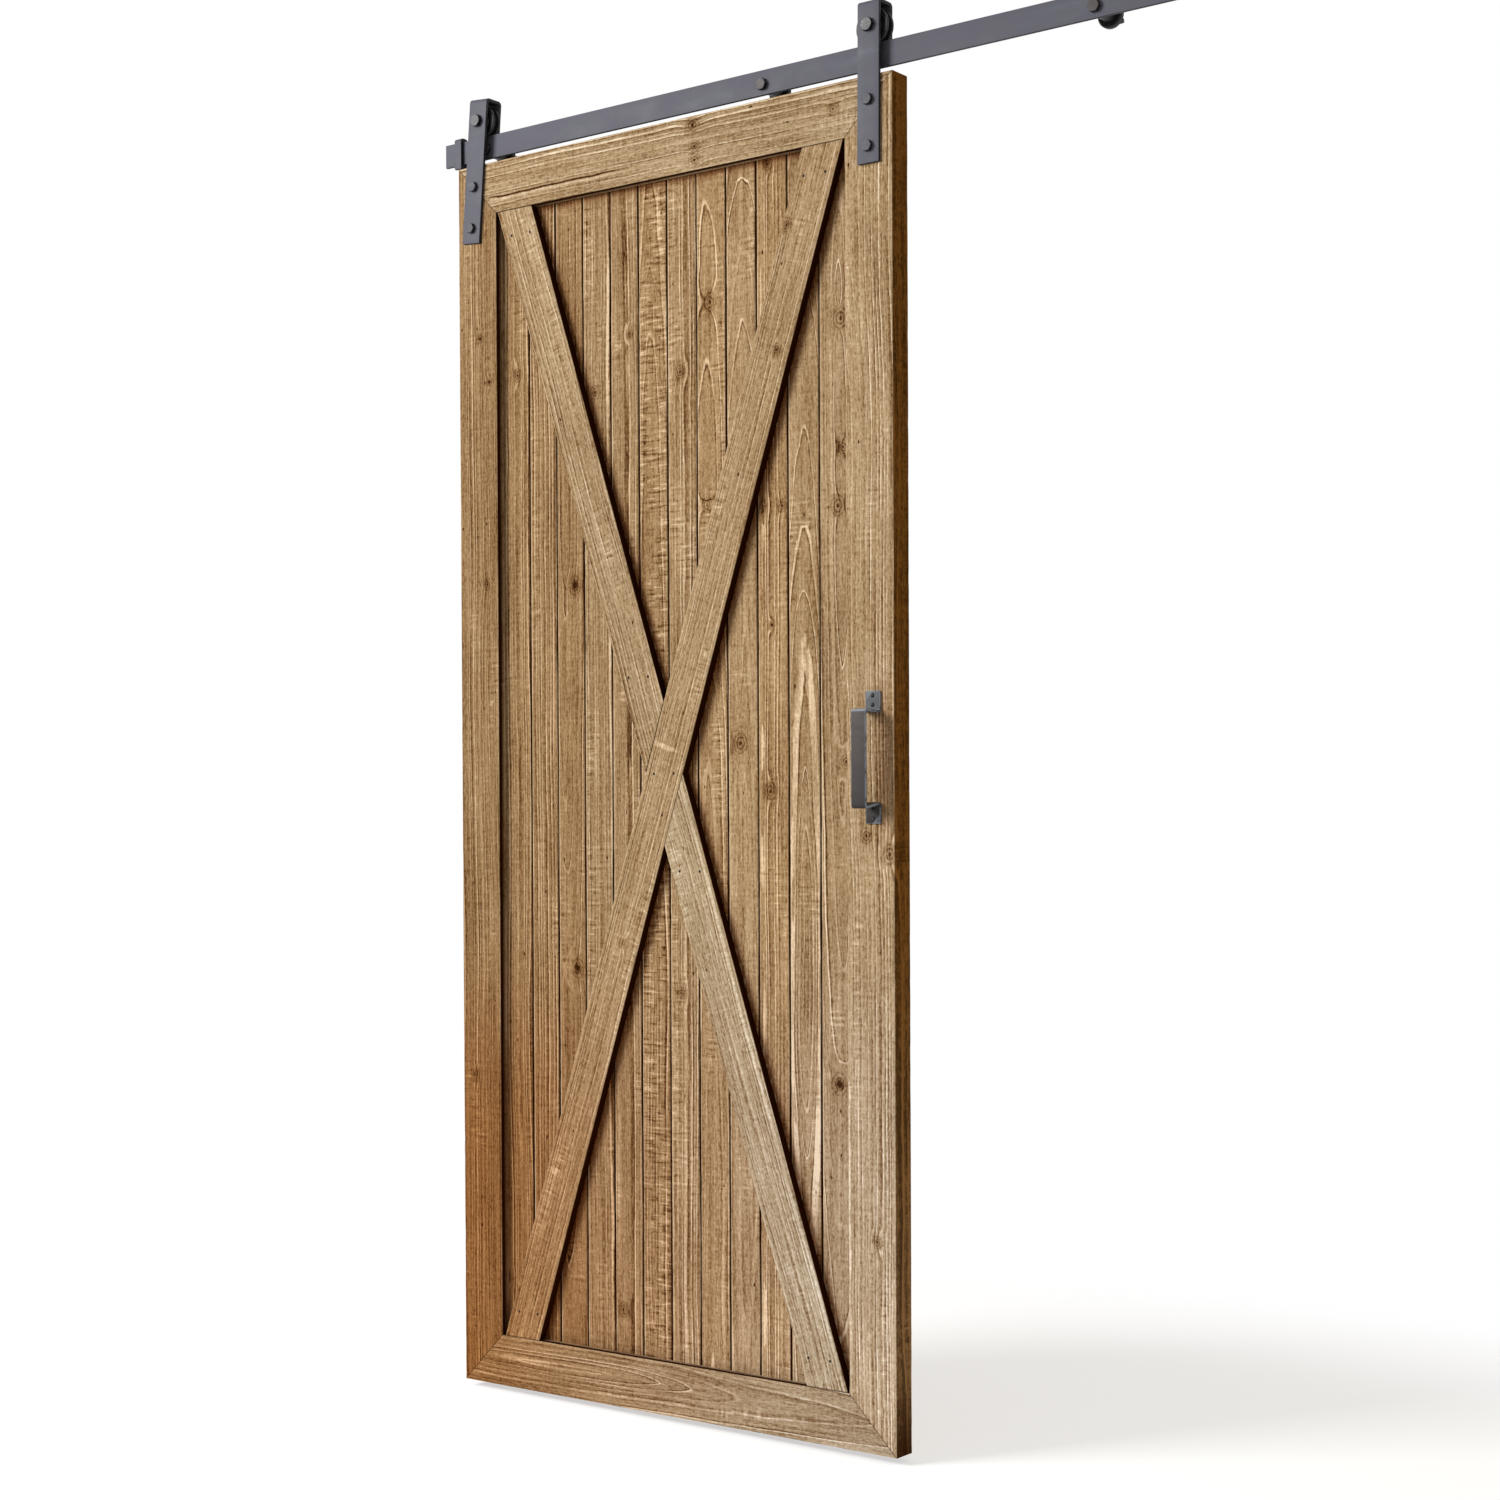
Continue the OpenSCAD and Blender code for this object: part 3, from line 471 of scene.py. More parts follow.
def put(mesh, name, kind, values):
    """Stores one value per point in a mesh attribute."""
    field = {"FLOAT": "value", "FLOAT_VECTOR": "vector", "FLOAT_COLOR": "color"}[kind]
    values = values.astype(np.float32).ravel()
    mesh.attributes.new(name, kind, "POINT").data.foreach_set(field, values)


def long_edges(node, grain):
    """The two long edges of a CAD board: each one's place across the grain, its start and its end."""
    points = corners_of(node)
    u = points @ grain
    v = points @ np.cross(DEPTH, grain)
    edges = []
    for place in (v.min(), v.max()):
        here = u[np.abs(v - place) < SAME_EDGE]
        edges.append((place, here.min(), here.max()))
    return edges


def brace_grain(node):
    """Direction along a brace, from its foot to its head. The two half braces share one line."""
    halves = ("lower_brace", "upper_brace")
    foot, head = halves if node in halves else (node, node)
    low = corners_of(foot)
    high = corners_of(head)
    foot_x = low[low[:, 2] < low[:, 2].min() + SAME_EDGE, 0].min()
    head_x = high[high[:, 2] > high[:, 2].max() - SAME_EDGE, 0].min()
    grain = np.array([head_x - foot_x, 0.0, high[:, 2].max() - low[:, 2].min()])
    return grain / np.linalg.norm(grain)


def painted_shade_share(places, reach):
    """Share of painted shade beside raised boards, on the side where their shadows fall: (1 - d /
    reach)^2, with d the distance to the right edge of each brace or to the lower edge of the top rail."""
    walls = {"top_rail": LEVEL}
    walls.update({node: brace_grain(node) for node in TIMBER if node.endswith("brace")})
    share = np.zeros(len(places))
    for node, grain in walls.items():
        across = np.cross(DEPTH, grain)
        edges = long_edges(node, grain)
        away = 1.0 if across[0] - across[2] > 0 else -1.0
        place, start, end = max(edges, key=lambda edge: edge[0] * away)
        distance = (places @ across - place) * away
        along = places @ grain
        beside = (distance > -SHADE_UNDER) & (along > start - SHADE_PAST) & (along < end + SHADE_PAST)
        here = np.where(beside, np.clip(1 - distance / reach, 0, 1) ** 2, 0)
        share = np.maximum(share, here)
    return share


def painted_handle_shadow(places):
    """Share of the painted shadow that the handle casts beside it: exp(-(z / reach)^4) times a bell curve
    strength * exp(-((x - place) / width)^2) for each patch, with x and z from the handle's middle."""
    x, _, z = (places - middle_of("handle")).T
    shadow_patches = sum(strength * np.exp(-((x - place) / width) ** 2) for place, width, strength in HANDLE_SHADOW_PATCHES)
    return np.exp(-(z / HANDLE_SHADOW_REACH) ** 4) * shadow_patches


def stain_and_painted_light(places, timber, wood):
    """Colour share of the stain at places on the door, with painted light in it, with X and Z from 0 to 1
    over the door. The painted shade of the low left corner has the share (1 - X)^fall and the painted
    cool light of the low right one X^fall, each times a smooth rise towards the foot, and the painted
    shadow of the handle darkens it too."""
    low, high = box_of("left_stile")
    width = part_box("right_stile")[1][0] - low[0]
    share_x = np.clip((places[:, 0] - low[0]) / width, 0, 1)
    share_z = np.clip((places[:, 2] - low[2]) / (high[2] - low[2]), 0, 1)
    foot = np.clip((FOOT_TONE[1] - share_z) / (FOOT_TONE[1] - FOOT_TONE[0]), 0, 1)
    foot = foot * foot * (3 - 2 * foot)
    left = (1 - share_x) ** CORNER_FALL * foot
    right = share_x ** CORNER_FALL * foot
    left_change = left[:, None] * (np.array(wood.shade_low_left) - 1)
    right_change = right[:, None] * (np.array(wood.light_low_right) - 1)
    board = timber.light * (1 - timber.warm * WARM_LOSS)
    # Painted shadow of the handle.
    handle_shade = 1 + painted_handle_shadow(places)[:, None] * (np.array(wood.handle_shadow) - 1)
    return (1 + left_change + right_change) * board * handle_shade


def skin(name, places, material):
    """Closed mesh over a grid of places: a row for each station, a column for each point round it."""
    stations, count = places.shape[:2]
    around = np.arange(count)
    along = np.arange(stations - 1)[:, None] * count
    beside = (around + 1) % count
    quads = np.stack([along + around, along + beside, along + beside + count, along + around + count], -1)
    caps = [around[::-1].tolist(), (around + (stations - 1) * count).tolist()]
    mesh = bpy.data.meshes.new(name)
    mesh.from_pydata(places.reshape(-1, 3).tolist(), [], quads.reshape(-1, 4).tolist() + caps)
    mesh.shade_smooth()
    mesh.set_sharp_from_angle(angle=SHARP_ANGLE)
    mesh.materials.append(material)
    return mesh


def stand_for(mesh, node, body):
    """Puts a mesh into the scene in place of a CAD node."""
    piece = bpy.data.objects.new(mesh.name, mesh)
    bpy.context.scene.collection.objects.link(piece)
    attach(piece, body)
    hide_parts(node)


def build_board(node, grain, outline, ends, material, settings, slot, inner=0):
    """Carries a section along the grain. With U along the grain, V across and W into the board, a point
    is U*u + V*v + W*w, where u = (1 - s)*start(v) + s*end(v) for s from 0 to 1, as both ends are straight
    cuts. Chips push the arrises inwards and hollows push the face inwards, both as smooth noise. The side
    that faces the panel is inner (-1 low, 1 high, 0 both)."""
    sizes, wood = settings
    timber = TIMBER[node]
    rng = np.random.default_rng(FIRST_SEED + list(TIMBER).index(node))
    across = np.cross(DEPTH, grain)
    front = corners_of(node)[:, 1].min()
    (low_v, low_start, low_end), (high_v, high_start, high_end) = ends
    count = len(outline.points)
    v = outline.points[:, 0]
    w = outline.points[:, 1]
    share = (v - low_v) / (high_v - low_v)
    start = low_start + share * (high_start - low_start)
    end = low_end + share * (high_end - low_end)
    stations = int((max(low_end, high_end) - min(low_start, high_start)) / sizes.step) + 2
    s = np.linspace(0, 1, stations)[:, None]
    u = (1 - s) * start + s * end
    v = np.broadcast_to(v, u.shape).copy()
    w = np.broadcast_to(w, u.shape).copy()
    for corner in np.unique(outline.corner[outline.arris > 0]):
        mine = (outline.corner == corner) & (outline.arris > 0)
        rough = wander(rng, u[:, mine], CHIP_RUNS[0]) * wander(rng, u[:, mine], CHIP_RUNS[1])
        depth = sizes.chip * rough ** 2 * outline.arris[mine]
        v[:, mine] -= depth * outline.normals[mine, 0]
        w[:, mine] -= depth * outline.normals[mine, 1]
    face = (outline.normals[:, 1] < -FACING_FRONT) & (outline.arris == 0)
    w[:, face] += sizes.relief * hollows(rng, u[:, face], v[:, face], HOLLOW_WIDTH) ** 2
    places = u[..., None] * grain + v[..., None] * across + (front + w)[..., None] * DEPTH
    mesh = skin(node + "_board", places, material)
    places = places.reshape(-1, 3)
    middle = (low_v + high_v) / 2
    first = grain_start(node)
    put(mesh, "grain", "FLOAT_VECTOR", np.stack([v - middle, w, u + first], -1))
    pith_depth = timber.pith_depth - timber.taper * (first + u.mean())
    pith = (timber.pith_across, pith_depth, timber.taper)
    put(mesh, "pith", "FLOAT_VECTOR", np.tile(pith, (len(places), 1)))
    tone = stain_and_painted_light(places, timber, wood)
    # Painted shade beside the braces and under the top rail, on the front half of the planks.
    if slot == "plank_wood":
        painted_shade = painted_shade_share(places, wood.shade_reach) * (places[:, 1] < front + thickness_of(node) / 2)
        tone *= 1 + painted_shade[:, None] * (np.array(wood.painted_shade) - 1)
    put(mesh, "tone", "FLOAT_COLOR", np.column_stack([tone, np.ones(len(tone))]))
    put(mesh, "sawn", "FLOAT", np.full(len(places), timber.sawn))
    put(mesh, "side", "FLOAT", np.tile(outline.normals[:, 0] ** 2, stations))
    facing = np.ones(count) if inner == 0 else (outline.normals[:, 0] * inner > 0).astype(float)
    put(mesh, "inner", "FLOAT", np.tile(facing, stations))
    to_end = np.minimum(u - start, end - u)
    put(mesh, "edges", "FLOAT_VECTOR", np.stack([v - low_v, high_v - v, to_end], -1))
    stand_for(mesh, node, "door")


# Meshes of the folded bars

class BarPath(NamedTuple):
    """Flat path of a folded bar: its points, their headings, and how far the section shrinks there."""

    points: np.ndarray
    heading: np.ndarray
    shrink: np.ndarray


def folded_path(runs, turns, bend, edge):
    """Straight runs joined by arcs of radius bend, from (0, 0) along the first axis. An arc's point is
    centre + bend * (sin(h), -cos(h)) with h its heading, and bend is negative where it turns back. At
    edge * (1 - sin(a)) from both ends the section shrinks by edge * (1 - cos(a)), for a quarter turn
    a."""
    here = np.zeros(2)
    heading = 0.0
    points = []
    headings = []
    for run, turn in zip(runs, (*turns, 0.0)):
        ahead = np.array([math.cos(heading), math.sin(heading)])
        share = np.linspace(0, 1, max(int(run / BAR_STEP), 1) + 1)[:, None]
        points.append(here + share * run * ahead)
        headings.append(np.full(len(share), heading))
        here = here + run * ahead
        if turn:
            radius = math.copysign(bend, turn)
            h = heading + np.linspace(0, turn, FOLD_PARTS + 1)
            centre = here + radius * np.array([-ahead[1], ahead[0]])
            arc = centre + radius * np.column_stack([np.sin(h), -np.cos(h)])
            points.append(arc[1:-1])
            headings.append(h[1:-1])
            here = arc[-1]
            heading += turn
    points = np.vstack(points)
    headings = np.concatenate(headings)
    a = np.linspace(math.pi / 2, 0, ARC_PARTS + 1)
    inset = edge * (1 - np.sin(a))[:, None]
    ahead = np.array([math.cos(heading), math.sin(heading)])
    points = np.vstack([points[0] + inset * [1, 0], points[1:-1], points[-1] - inset[::-1] * ahead])
    headings = np.concatenate([np.zeros(len(a)), headings[1:-1], np.full(len(a), heading)])
    shrink = np.zeros(len(points))
    shrink[:len(a)] = edge * (1 - np.cos(a))
    shrink[-len(a):] = shrink[len(a) - 1::-1]
    return BarPath(points, headings, shrink)


def build_bar(node, body, path, place, size, edge, material):
    """Carries a rounded rectangle along a flat path. With place = (origin, A, B) and C = B x A, a point
    is origin + A*p + B*q + C*v + N*w, where (p, q) is on the path, N is its normal and (v, w) is on the
    section, moved inwards by the path's shrink."""
    origin, first, second = place
    half_v, half_w = size[0] / 2, size[1] / 2
    corners = [(-half_v, -half_w), (half_v, -half_w), (half_v, half_w), (-half_v, half_w)]
    outline = section(corners, [edge] * 4, BAR_STEP)
    flat = outline.points - path.shrink[:, None, None] * outline.normals
    normal = np.outer(-np.sin(path.heading), first) + np.outer(np.cos(path.heading), second)
    spine = origin + np.outer(path.points[:, 0], first) + np.outer(path.points[:, 1], second)
    across = np.cross(second, first)
    places = spine[:, None] + flat[..., :1] * across + flat[..., 1:] * normal[:, None]
    mesh = skin(node + "_bar", places, material)
    gone = np.concatenate([[0], np.cumsum(np.linalg.norm(np.diff(path.points, axis=0), axis=1))])
    to_end = np.minimum(gone, gone[-1] - gone)
    put(mesh, "rim", "FLOAT", np.minimum(half_v - np.abs(flat[..., 0]), to_end[:, None]))
    stand_for(mesh, node, body)


def strap_path(size, rise, front, back, fold, edge):
    """Path of a strap folded over an axle: up the front leg, back over the top and down the back leg. Its
    size is (thickness, gap between the legs)."""
    thickness, gap = size
    runs = (front + rise - fold, gap - 2 * fold, back + rise - fold)
    return folded_path(runs, (math.pi / 2, math.pi / 2), fold + thickness / 2, edge)


# Node trees

# Places of the factor, the two colours and the result among a Mix node's sockets.
MIX_INPUTS = (0, 6, 7)
MIX_OUTPUT = 2


class Tree:
    """Adds nodes to one tree. The methods take outputs of other nodes or plain values, and most return
    the new node's output."""

    def __init__(self, tree):
        self.tree = tree

    def add(self, kind, *values, **settings):
        """A new node with its settings, and with values for its first inputs."""
        node = self.tree.nodes.new("ShaderNode" + kind)
        for key, value in settings.items():
            setattr(node, key, value)
        for socket, value in zip(node.inputs, values):
            self.feed(socket, value)
        return node

    def feed(self, socket, value):
        """Links an output to an input, or sets the input to a value."""
        if isinstance(value, bpy.types.NodeSocket):
            self.tree.links.new(value, socket)
        elif value is not None:
            socket.default_value = value

    def math(self, operation, *values, clamp=False):
        return self.add("Math", *values, operation=operation, use_clamp=clamp).outputs[0]

    def vector(self, operation, *values):
        node = self.add("VectorMath", *values, operation=operation)
        return node.outputs["Value" if operation in ("LENGTH", "DOT_PRODUCT") else "Vector"]

    def times(self, a, b):
        return self.math("MULTIPLY", a, b)

    def plus(self, value, share, base):
        """base + value * share"""
        return self.math("MULTIPLY_ADD", value, share, base)

    def scaled(self, vector, x, y, z):
        return self.vector("MULTIPLY", vector, (x, y, z))

    def combine(self, x, y, z=0.0):
        return self.add("CombineXYZ", x, y, z).outputs[0]

    def parts(self, vector):
        return self.add("SeparateXYZ", vector).outputs

    def noise(self, vector, detail=2.0, roughness=0.5):
        node = self.add("TexNoise")
        self.feed(node.inputs["Vector"], vector)
        node.inputs["Scale"].default_value = 1.0
        node.inputs["Detail"].default_value = detail
        node.inputs["Roughness"].default_value = roughness
        return node.outputs[0]

    def swing(self, vector, detail=2.0):
        """Noise round 0."""
        return self.math("SUBTRACT", self.noise(vector, detail), 0.5)

    def between(self, value, low, high, to_low=0.0, to_high=1.0):
        """A smooth step from to_low where the value is low, to to_high where it is high."""
        ends = (low, high, to_low, to_high)
        return self.add("MapRange", value, *ends, interpolation_type="SMOOTHSTEP").outputs[0]

    def fades(self, value, low, high):
        """A smooth step from 1 where the value is low, to 0 where it is high."""
        return self.between(value, low, high, 1.0, 0.0)

    def mix(self, factor, a, b, blend="MIX"):
        """Colour a with colour b over it, by the factor."""
        node = self.add("Mix", data_type="RGBA", blend_type=blend)
        for place, value in zip(MIX_INPUTS, (factor, a, b)):
            if not isinstance(value, (float, bpy.types.NodeSocket)):
                value = (*value, 1.0)[:4]
            self.feed(node.inputs[place], value)
        return node.outputs[MIX_OUTPUT]

    def tinted(self, colour, tint):
        return self.mix(1.0, colour, tint, "MULTIPLY")

    def grey(self, value):
        return self.combine(value, value, value)

    def attribute(self, name):
        return self.add("Attribute", attribute_name=name)

    def group(self, tree, **values):
        """The outputs of a node group that is given values by its inputs' names."""
        node = self.add("Group", node_tree=tree)
        for name, value in values.items():
            self.feed(node.inputs[name.replace("_", " ").title()], value)
        return node.outputs


def new_group(name, inputs, outputs):
    """An empty node group with its sockets. Returns its tree builder, inputs and output node."""
    tree = bpy.data.node_groups.new(name, "ShaderNodeTree")
    for label, kind in inputs:
        tree.interface.new_socket(label, in_out="INPUT", socket_type="NodeSocket" + kind)
    for label in outputs:
        tree.interface.new_socket(label, in_out="OUTPUT", socket_type="NodeSocketFloat")
    return Tree(tree), tree.nodes.new("NodeGroupInput").outputs, tree.nodes.new("NodeGroupOutput").inputs


def oval(t, grain, board, centre, scale):
    """Distance from a centre on a board, (along, across), as |(grain - centre) * scale|."""
    along, across = centre
    centre = np.array([across, 0, along + grain_start(board)])
    offset = t.vector("MULTIPLY_ADD", grain, tuple(scale), tuple(-centre * scale))
    return t.vector("LENGTH", offset)


def nearest_knot(t, grain, table):
    """Distance to the nearest knot of a table, in knot radii."""
    nearest = NO_KNOT
    for board, knots in table.items():
        for along, across, radius in knots:
            distance = oval(t, grain, board, (along, across), KNOT_SHAPE / radius)
            nearest = t.math("MINIMUM", nearest, distance)
    return nearest


def knot_group():
    """Knots, shakes and scars. The distance to the nearest knot, in knot radii, gives a heart that is
    darker in dark knots, thin rings and a soft halo round it, and a shift of the growth rings. A shake is
    a dark line that wanders along the grain with a pale lip, and a scar is a pale ragged oval."""
    if "Knots" in bpy.data.node_groups:
        return bpy.data.node_groups["Knots"]
    t, given, made = new_group(
        "Knots", [("Grain", "Vector")], ["Heart", "Eye", "Halo", "Bend", "Shake", "Lip", "Scar"])
    grain = given["Grain"]
    ragged = t.swing(t.scaled(grain, 240, 240, 180))
    common = nearest_knot(t, grain, KNOTS)
    dark = nearest_knot(t, grain, DARK_KNOTS)
    nearest = t.math("MINIMUM", common, dark)
    distance = t.plus(ragged, 0.6, nearest)
    black = t.fades(t.plus(ragged, 0.6, dark), 0.45, 1.05)
    brown = t.between(t.plus(ragged, 0.6, common), 0.10, 0.90, 0.42, 0.0)
    t.feed(made["Heart"], t.math("MAXIMUM", black, brown))
    t.feed(made["Halo"], t.fades(distance, 0.9, 3.4))
    wave = t.math("SINE", t.times(distance, 7.0))
    t.feed(made["Eye"], t.times(t.between(wave, 0.1, 0.9), t.fades(distance, 1.2, 3.0)))
    close = t.math("SUBTRACT", 1.0, t.math("DIVIDE", nearest, 7.0), clamp=True)
    t.feed(made["Bend"], t.math("POWER", close, 2.0))

    place = t.parts(grain)
    sway = t.swing(t.scaled(grain, 0, 0, 9.0))
    for board, (begin, end, across) in SHAKES.items():
        along = t.math("SUBTRACT", place[2], grain_start(board))
        run = t.times(t.between(along, begin, begin + 0.03), t.fades(along, end - 0.12, end))
        off = t.math("SUBTRACT", t.plus(sway, 0.012, place[0]), across)
        crack = t.fades(t.math("ABSOLUTE", off), 0.0006, 0.0024)
        t.feed(made["Shake"], t.times(run, crack))
        lip = t.math("ABSOLUTE", t.math("SUBTRACT", off, 0.0042))
        t.feed(made["Lip"], t.times(run, t.fades(lip, 0.0008, 0.0028)))
    scar = 0.0
    for board, (along, across, half_across, half_along) in SCARS.items():
        scale = np.array([1 / half_across, 0, 1 / half_along])
        spot = t.plus(ragged, 1.4, oval(t, grain, board, (along, across), scale))
        scar = t.math("MAXIMUM", scar, t.fades(spot, 0.5, 1.1))
    t.feed(made["Scar"], scar)
    return t.tree


def ring_group():
    """Growth rings as cylinders round a wandering pith: r = sqrt((v - pith)^2 + depth^2), so that a face
    far from the pith shows straight lines, and one close to it shows arches where the depth changes. Each
    ring ends in a pale line with a dark one before it, and both are thin where the ring lies flat."""
    if "Growth Rings" in bpy.data.node_groups:
        return bpy.data.node_groups["Growth Rings"]
    t, given, made = new_group(
        "Growth Rings", [("Grain", "Vector"), ("Pith", "Vector"), ("Width", "Float"), ("Bend", "Float")],
        ["Pale", "Dark"])
    grain = t.parts(given["Grain"])
    pith = t.parts(given["Pith"])
    sway = t.swing(t.scaled(given["Grain"], 0, 0, 1.7), 1.0)
    dive = t.swing(t.vector("ADD", t.scaled(given["Grain"], 0, 0, 1.8), (9.0, 4.0, 0.0)), 1.0)
    ripple = t.swing(t.scaled(given["Grain"], 55, 30, 9), 3.0)
    across = t.math("SUBTRACT", t.plus(sway, 0.022, grain[0]), pith[0])
    lean = t.plus(grain[2], pith[2], pith[1])
    depth = t.math("ADD", t.plus(dive, 0.034, lean), grain[1])
    radius = t.vector("LENGTH", t.combine(across, depth))
    uneven = t.noise(t.combine(t.times(radius, 70.0), t.times(grain[2], 0.11), 3.0), 1.0)
    phase = t.math("DIVIDE", radius, given["Width"])
    for value, share in ((ripple, 0.50), (uneven, 2.6), (given["Bend"], 1.0)):
        phase = t.plus(value, share, phase)
    part = t.math("FRACT", phase)
    board = t.math("FLOOR", t.math("DIVIDE", grain[2], BOARD_SPREAD))
    number = t.combine(t.math("FLOOR", phase), board)
    bold = t.add("TexWhiteNoise", number, noise_dimensions="2D").outputs[0]
    faint = t.noise(t.scaled(given["Grain"], 60, 40, 6))
    strength = t.times(t.between(bold, 0.1, 0.9, 0.25, 1.0), t.between(faint, 0.36, 0.58, 0.45, 1.0))
    steep = t.math("DIVIDE", t.math("ABSOLUTE", across), radius)
    span = t.plus(steep, 0.22, 0.045)
    shade, begin, bright = (t.plus(span, share, 0.97) for share in (-2.8, -1.3, -0.7))
    pale = t.times(t.between(part, begin, bright), t.fades(part, 0.96, 1.0))
    dark = t.times(t.between(part, shade, begin), t.fades(part, begin, bright))
    calm = t.fades(given["Bend"], 0.20, 0.55)
    t.feed(made["Pale"], t.times(t.times(pale, calm), strength))
    t.feed(made["Dark"], t.times(dark, strength))
    return t.tree


def fibre_group():
    """Streaks of stain along the grain, fibres, specks, hairs and soft clouds, each a noise with its own
    scale, detail and roughness, and small dark pits in some cells of a grid."""
    if "Fibres" in bpy.data.node_groups:
        return bpy.data.node_groups["Fibres"]
    noises = {
        "Streak": ((130, 80, 3.6), 4.0, 0.66),
        "Fibre": ((330, 220, 70), 3.0, 0.62),
        "Speck": ((260, 200, 190), 2.0, 0.60),
        "Hair": ((1400, 500, 30), 2.0, 0.60),
        "Cloud": ((16, 10, 5.0), 3.0, 0.55),
    }
    t, given, made = new_group("Fibres", [("Grain", "Vector")], [*noises, "Pit"])
    for name, (scale, detail, roughness) in noises.items():
        t.feed(made[name], t.noise(t.scaled(given["Grain"], *scale), detail, roughness))
    cells = t.add("TexVoronoi", t.scaled(given["Grain"], 55, 0, 28), voronoi_dimensions="3D")
    cells.inputs["Scale"].default_value = 1.0
    chance = t.add("SeparateColor", cells.outputs["Color"]).outputs[0]
    near = t.fades(cells.outputs["Distance"], 0.05, 0.12)
    t.feed(made["Pit"], t.times(near, t.math("GREATER_THAN", chance, 0.90)))
    return t.tree


def saw_group():
    """Marks of the saw blade across the grain, in patches: 1 on a pale tick and -0.8 on a dark one."""
    if "Saw Marks" in bpy.data.node_groups:
        return bpy.data.node_groups["Saw Marks"]
    t, given, made = new_group("Saw Marks", [("Grain", "Vector"), ("Amount", "Float")], ["Mark"])
    lines = t.noise(t.scaled(given["Grain"], 28, 20, 190), 2.0, 0.58)
    patch = t.noise(t.scaled(given["Grain"], 18, 10, 5.0), 2.0)
    level = t.math("SUBTRACT", 0.68, t.times(given["Amount"], 0.36))
    shown = t.between(patch, level, t.math("ADD", level, 0.16), 0.18, 1.1)
    ticks = t.math("SUBTRACT", t.between(lines, 0.55, 0.65), t.between(lines, 0.36, 0.45, 0.8, 0.0))
    shown = t.times(shown, t.between(given["Amount"], 0.6, 1.0, 1.0, 1.25))
    t.feed(made["Mark"], t.times(ticks, shown))
    return t.tree


def new_material(name):
    """A material with one Principled shader. Returns it with its tree builder and shader."""
    material = bpy.data.materials.new(name)
    material.use_nodes = True
    shader = material.node_tree.nodes["Principled BSDF"]
    return material, Tree(material.node_tree), shader


def raise_surface(t, shader, relief, strength, distance):
    """Bumps a shader's surface by a relief that is as high as the distance where it is 1."""
    bump = t.add("Bump")
    bump.inputs["Strength"].default_value = strength
    bump.inputs["Distance"].default_value = distance
    t.feed(bump.inputs["Height"], relief)
    t.feed(shader.inputs["Normal"], bump.outputs[0])


def stain_ramp(t, lightness, wood):
    """Colour of the stain for a lightness from 0 to 1, with its five colours evenly spread."""
    ramp = t.add("ValToRGB", lightness)
    stops = ramp.color_ramp.elements
    stops.remove(stops[1])
    colours = (wood.deepest, wood.deep, wood.mid, wood.light, wood.pale)
    for k, colour in enumerate(colours):
        stop = stops.new(k / (len(colours) - 1)) if k else stops[0]
        stop.color = (*colour, 1.0)
    return ramp.outputs[0]


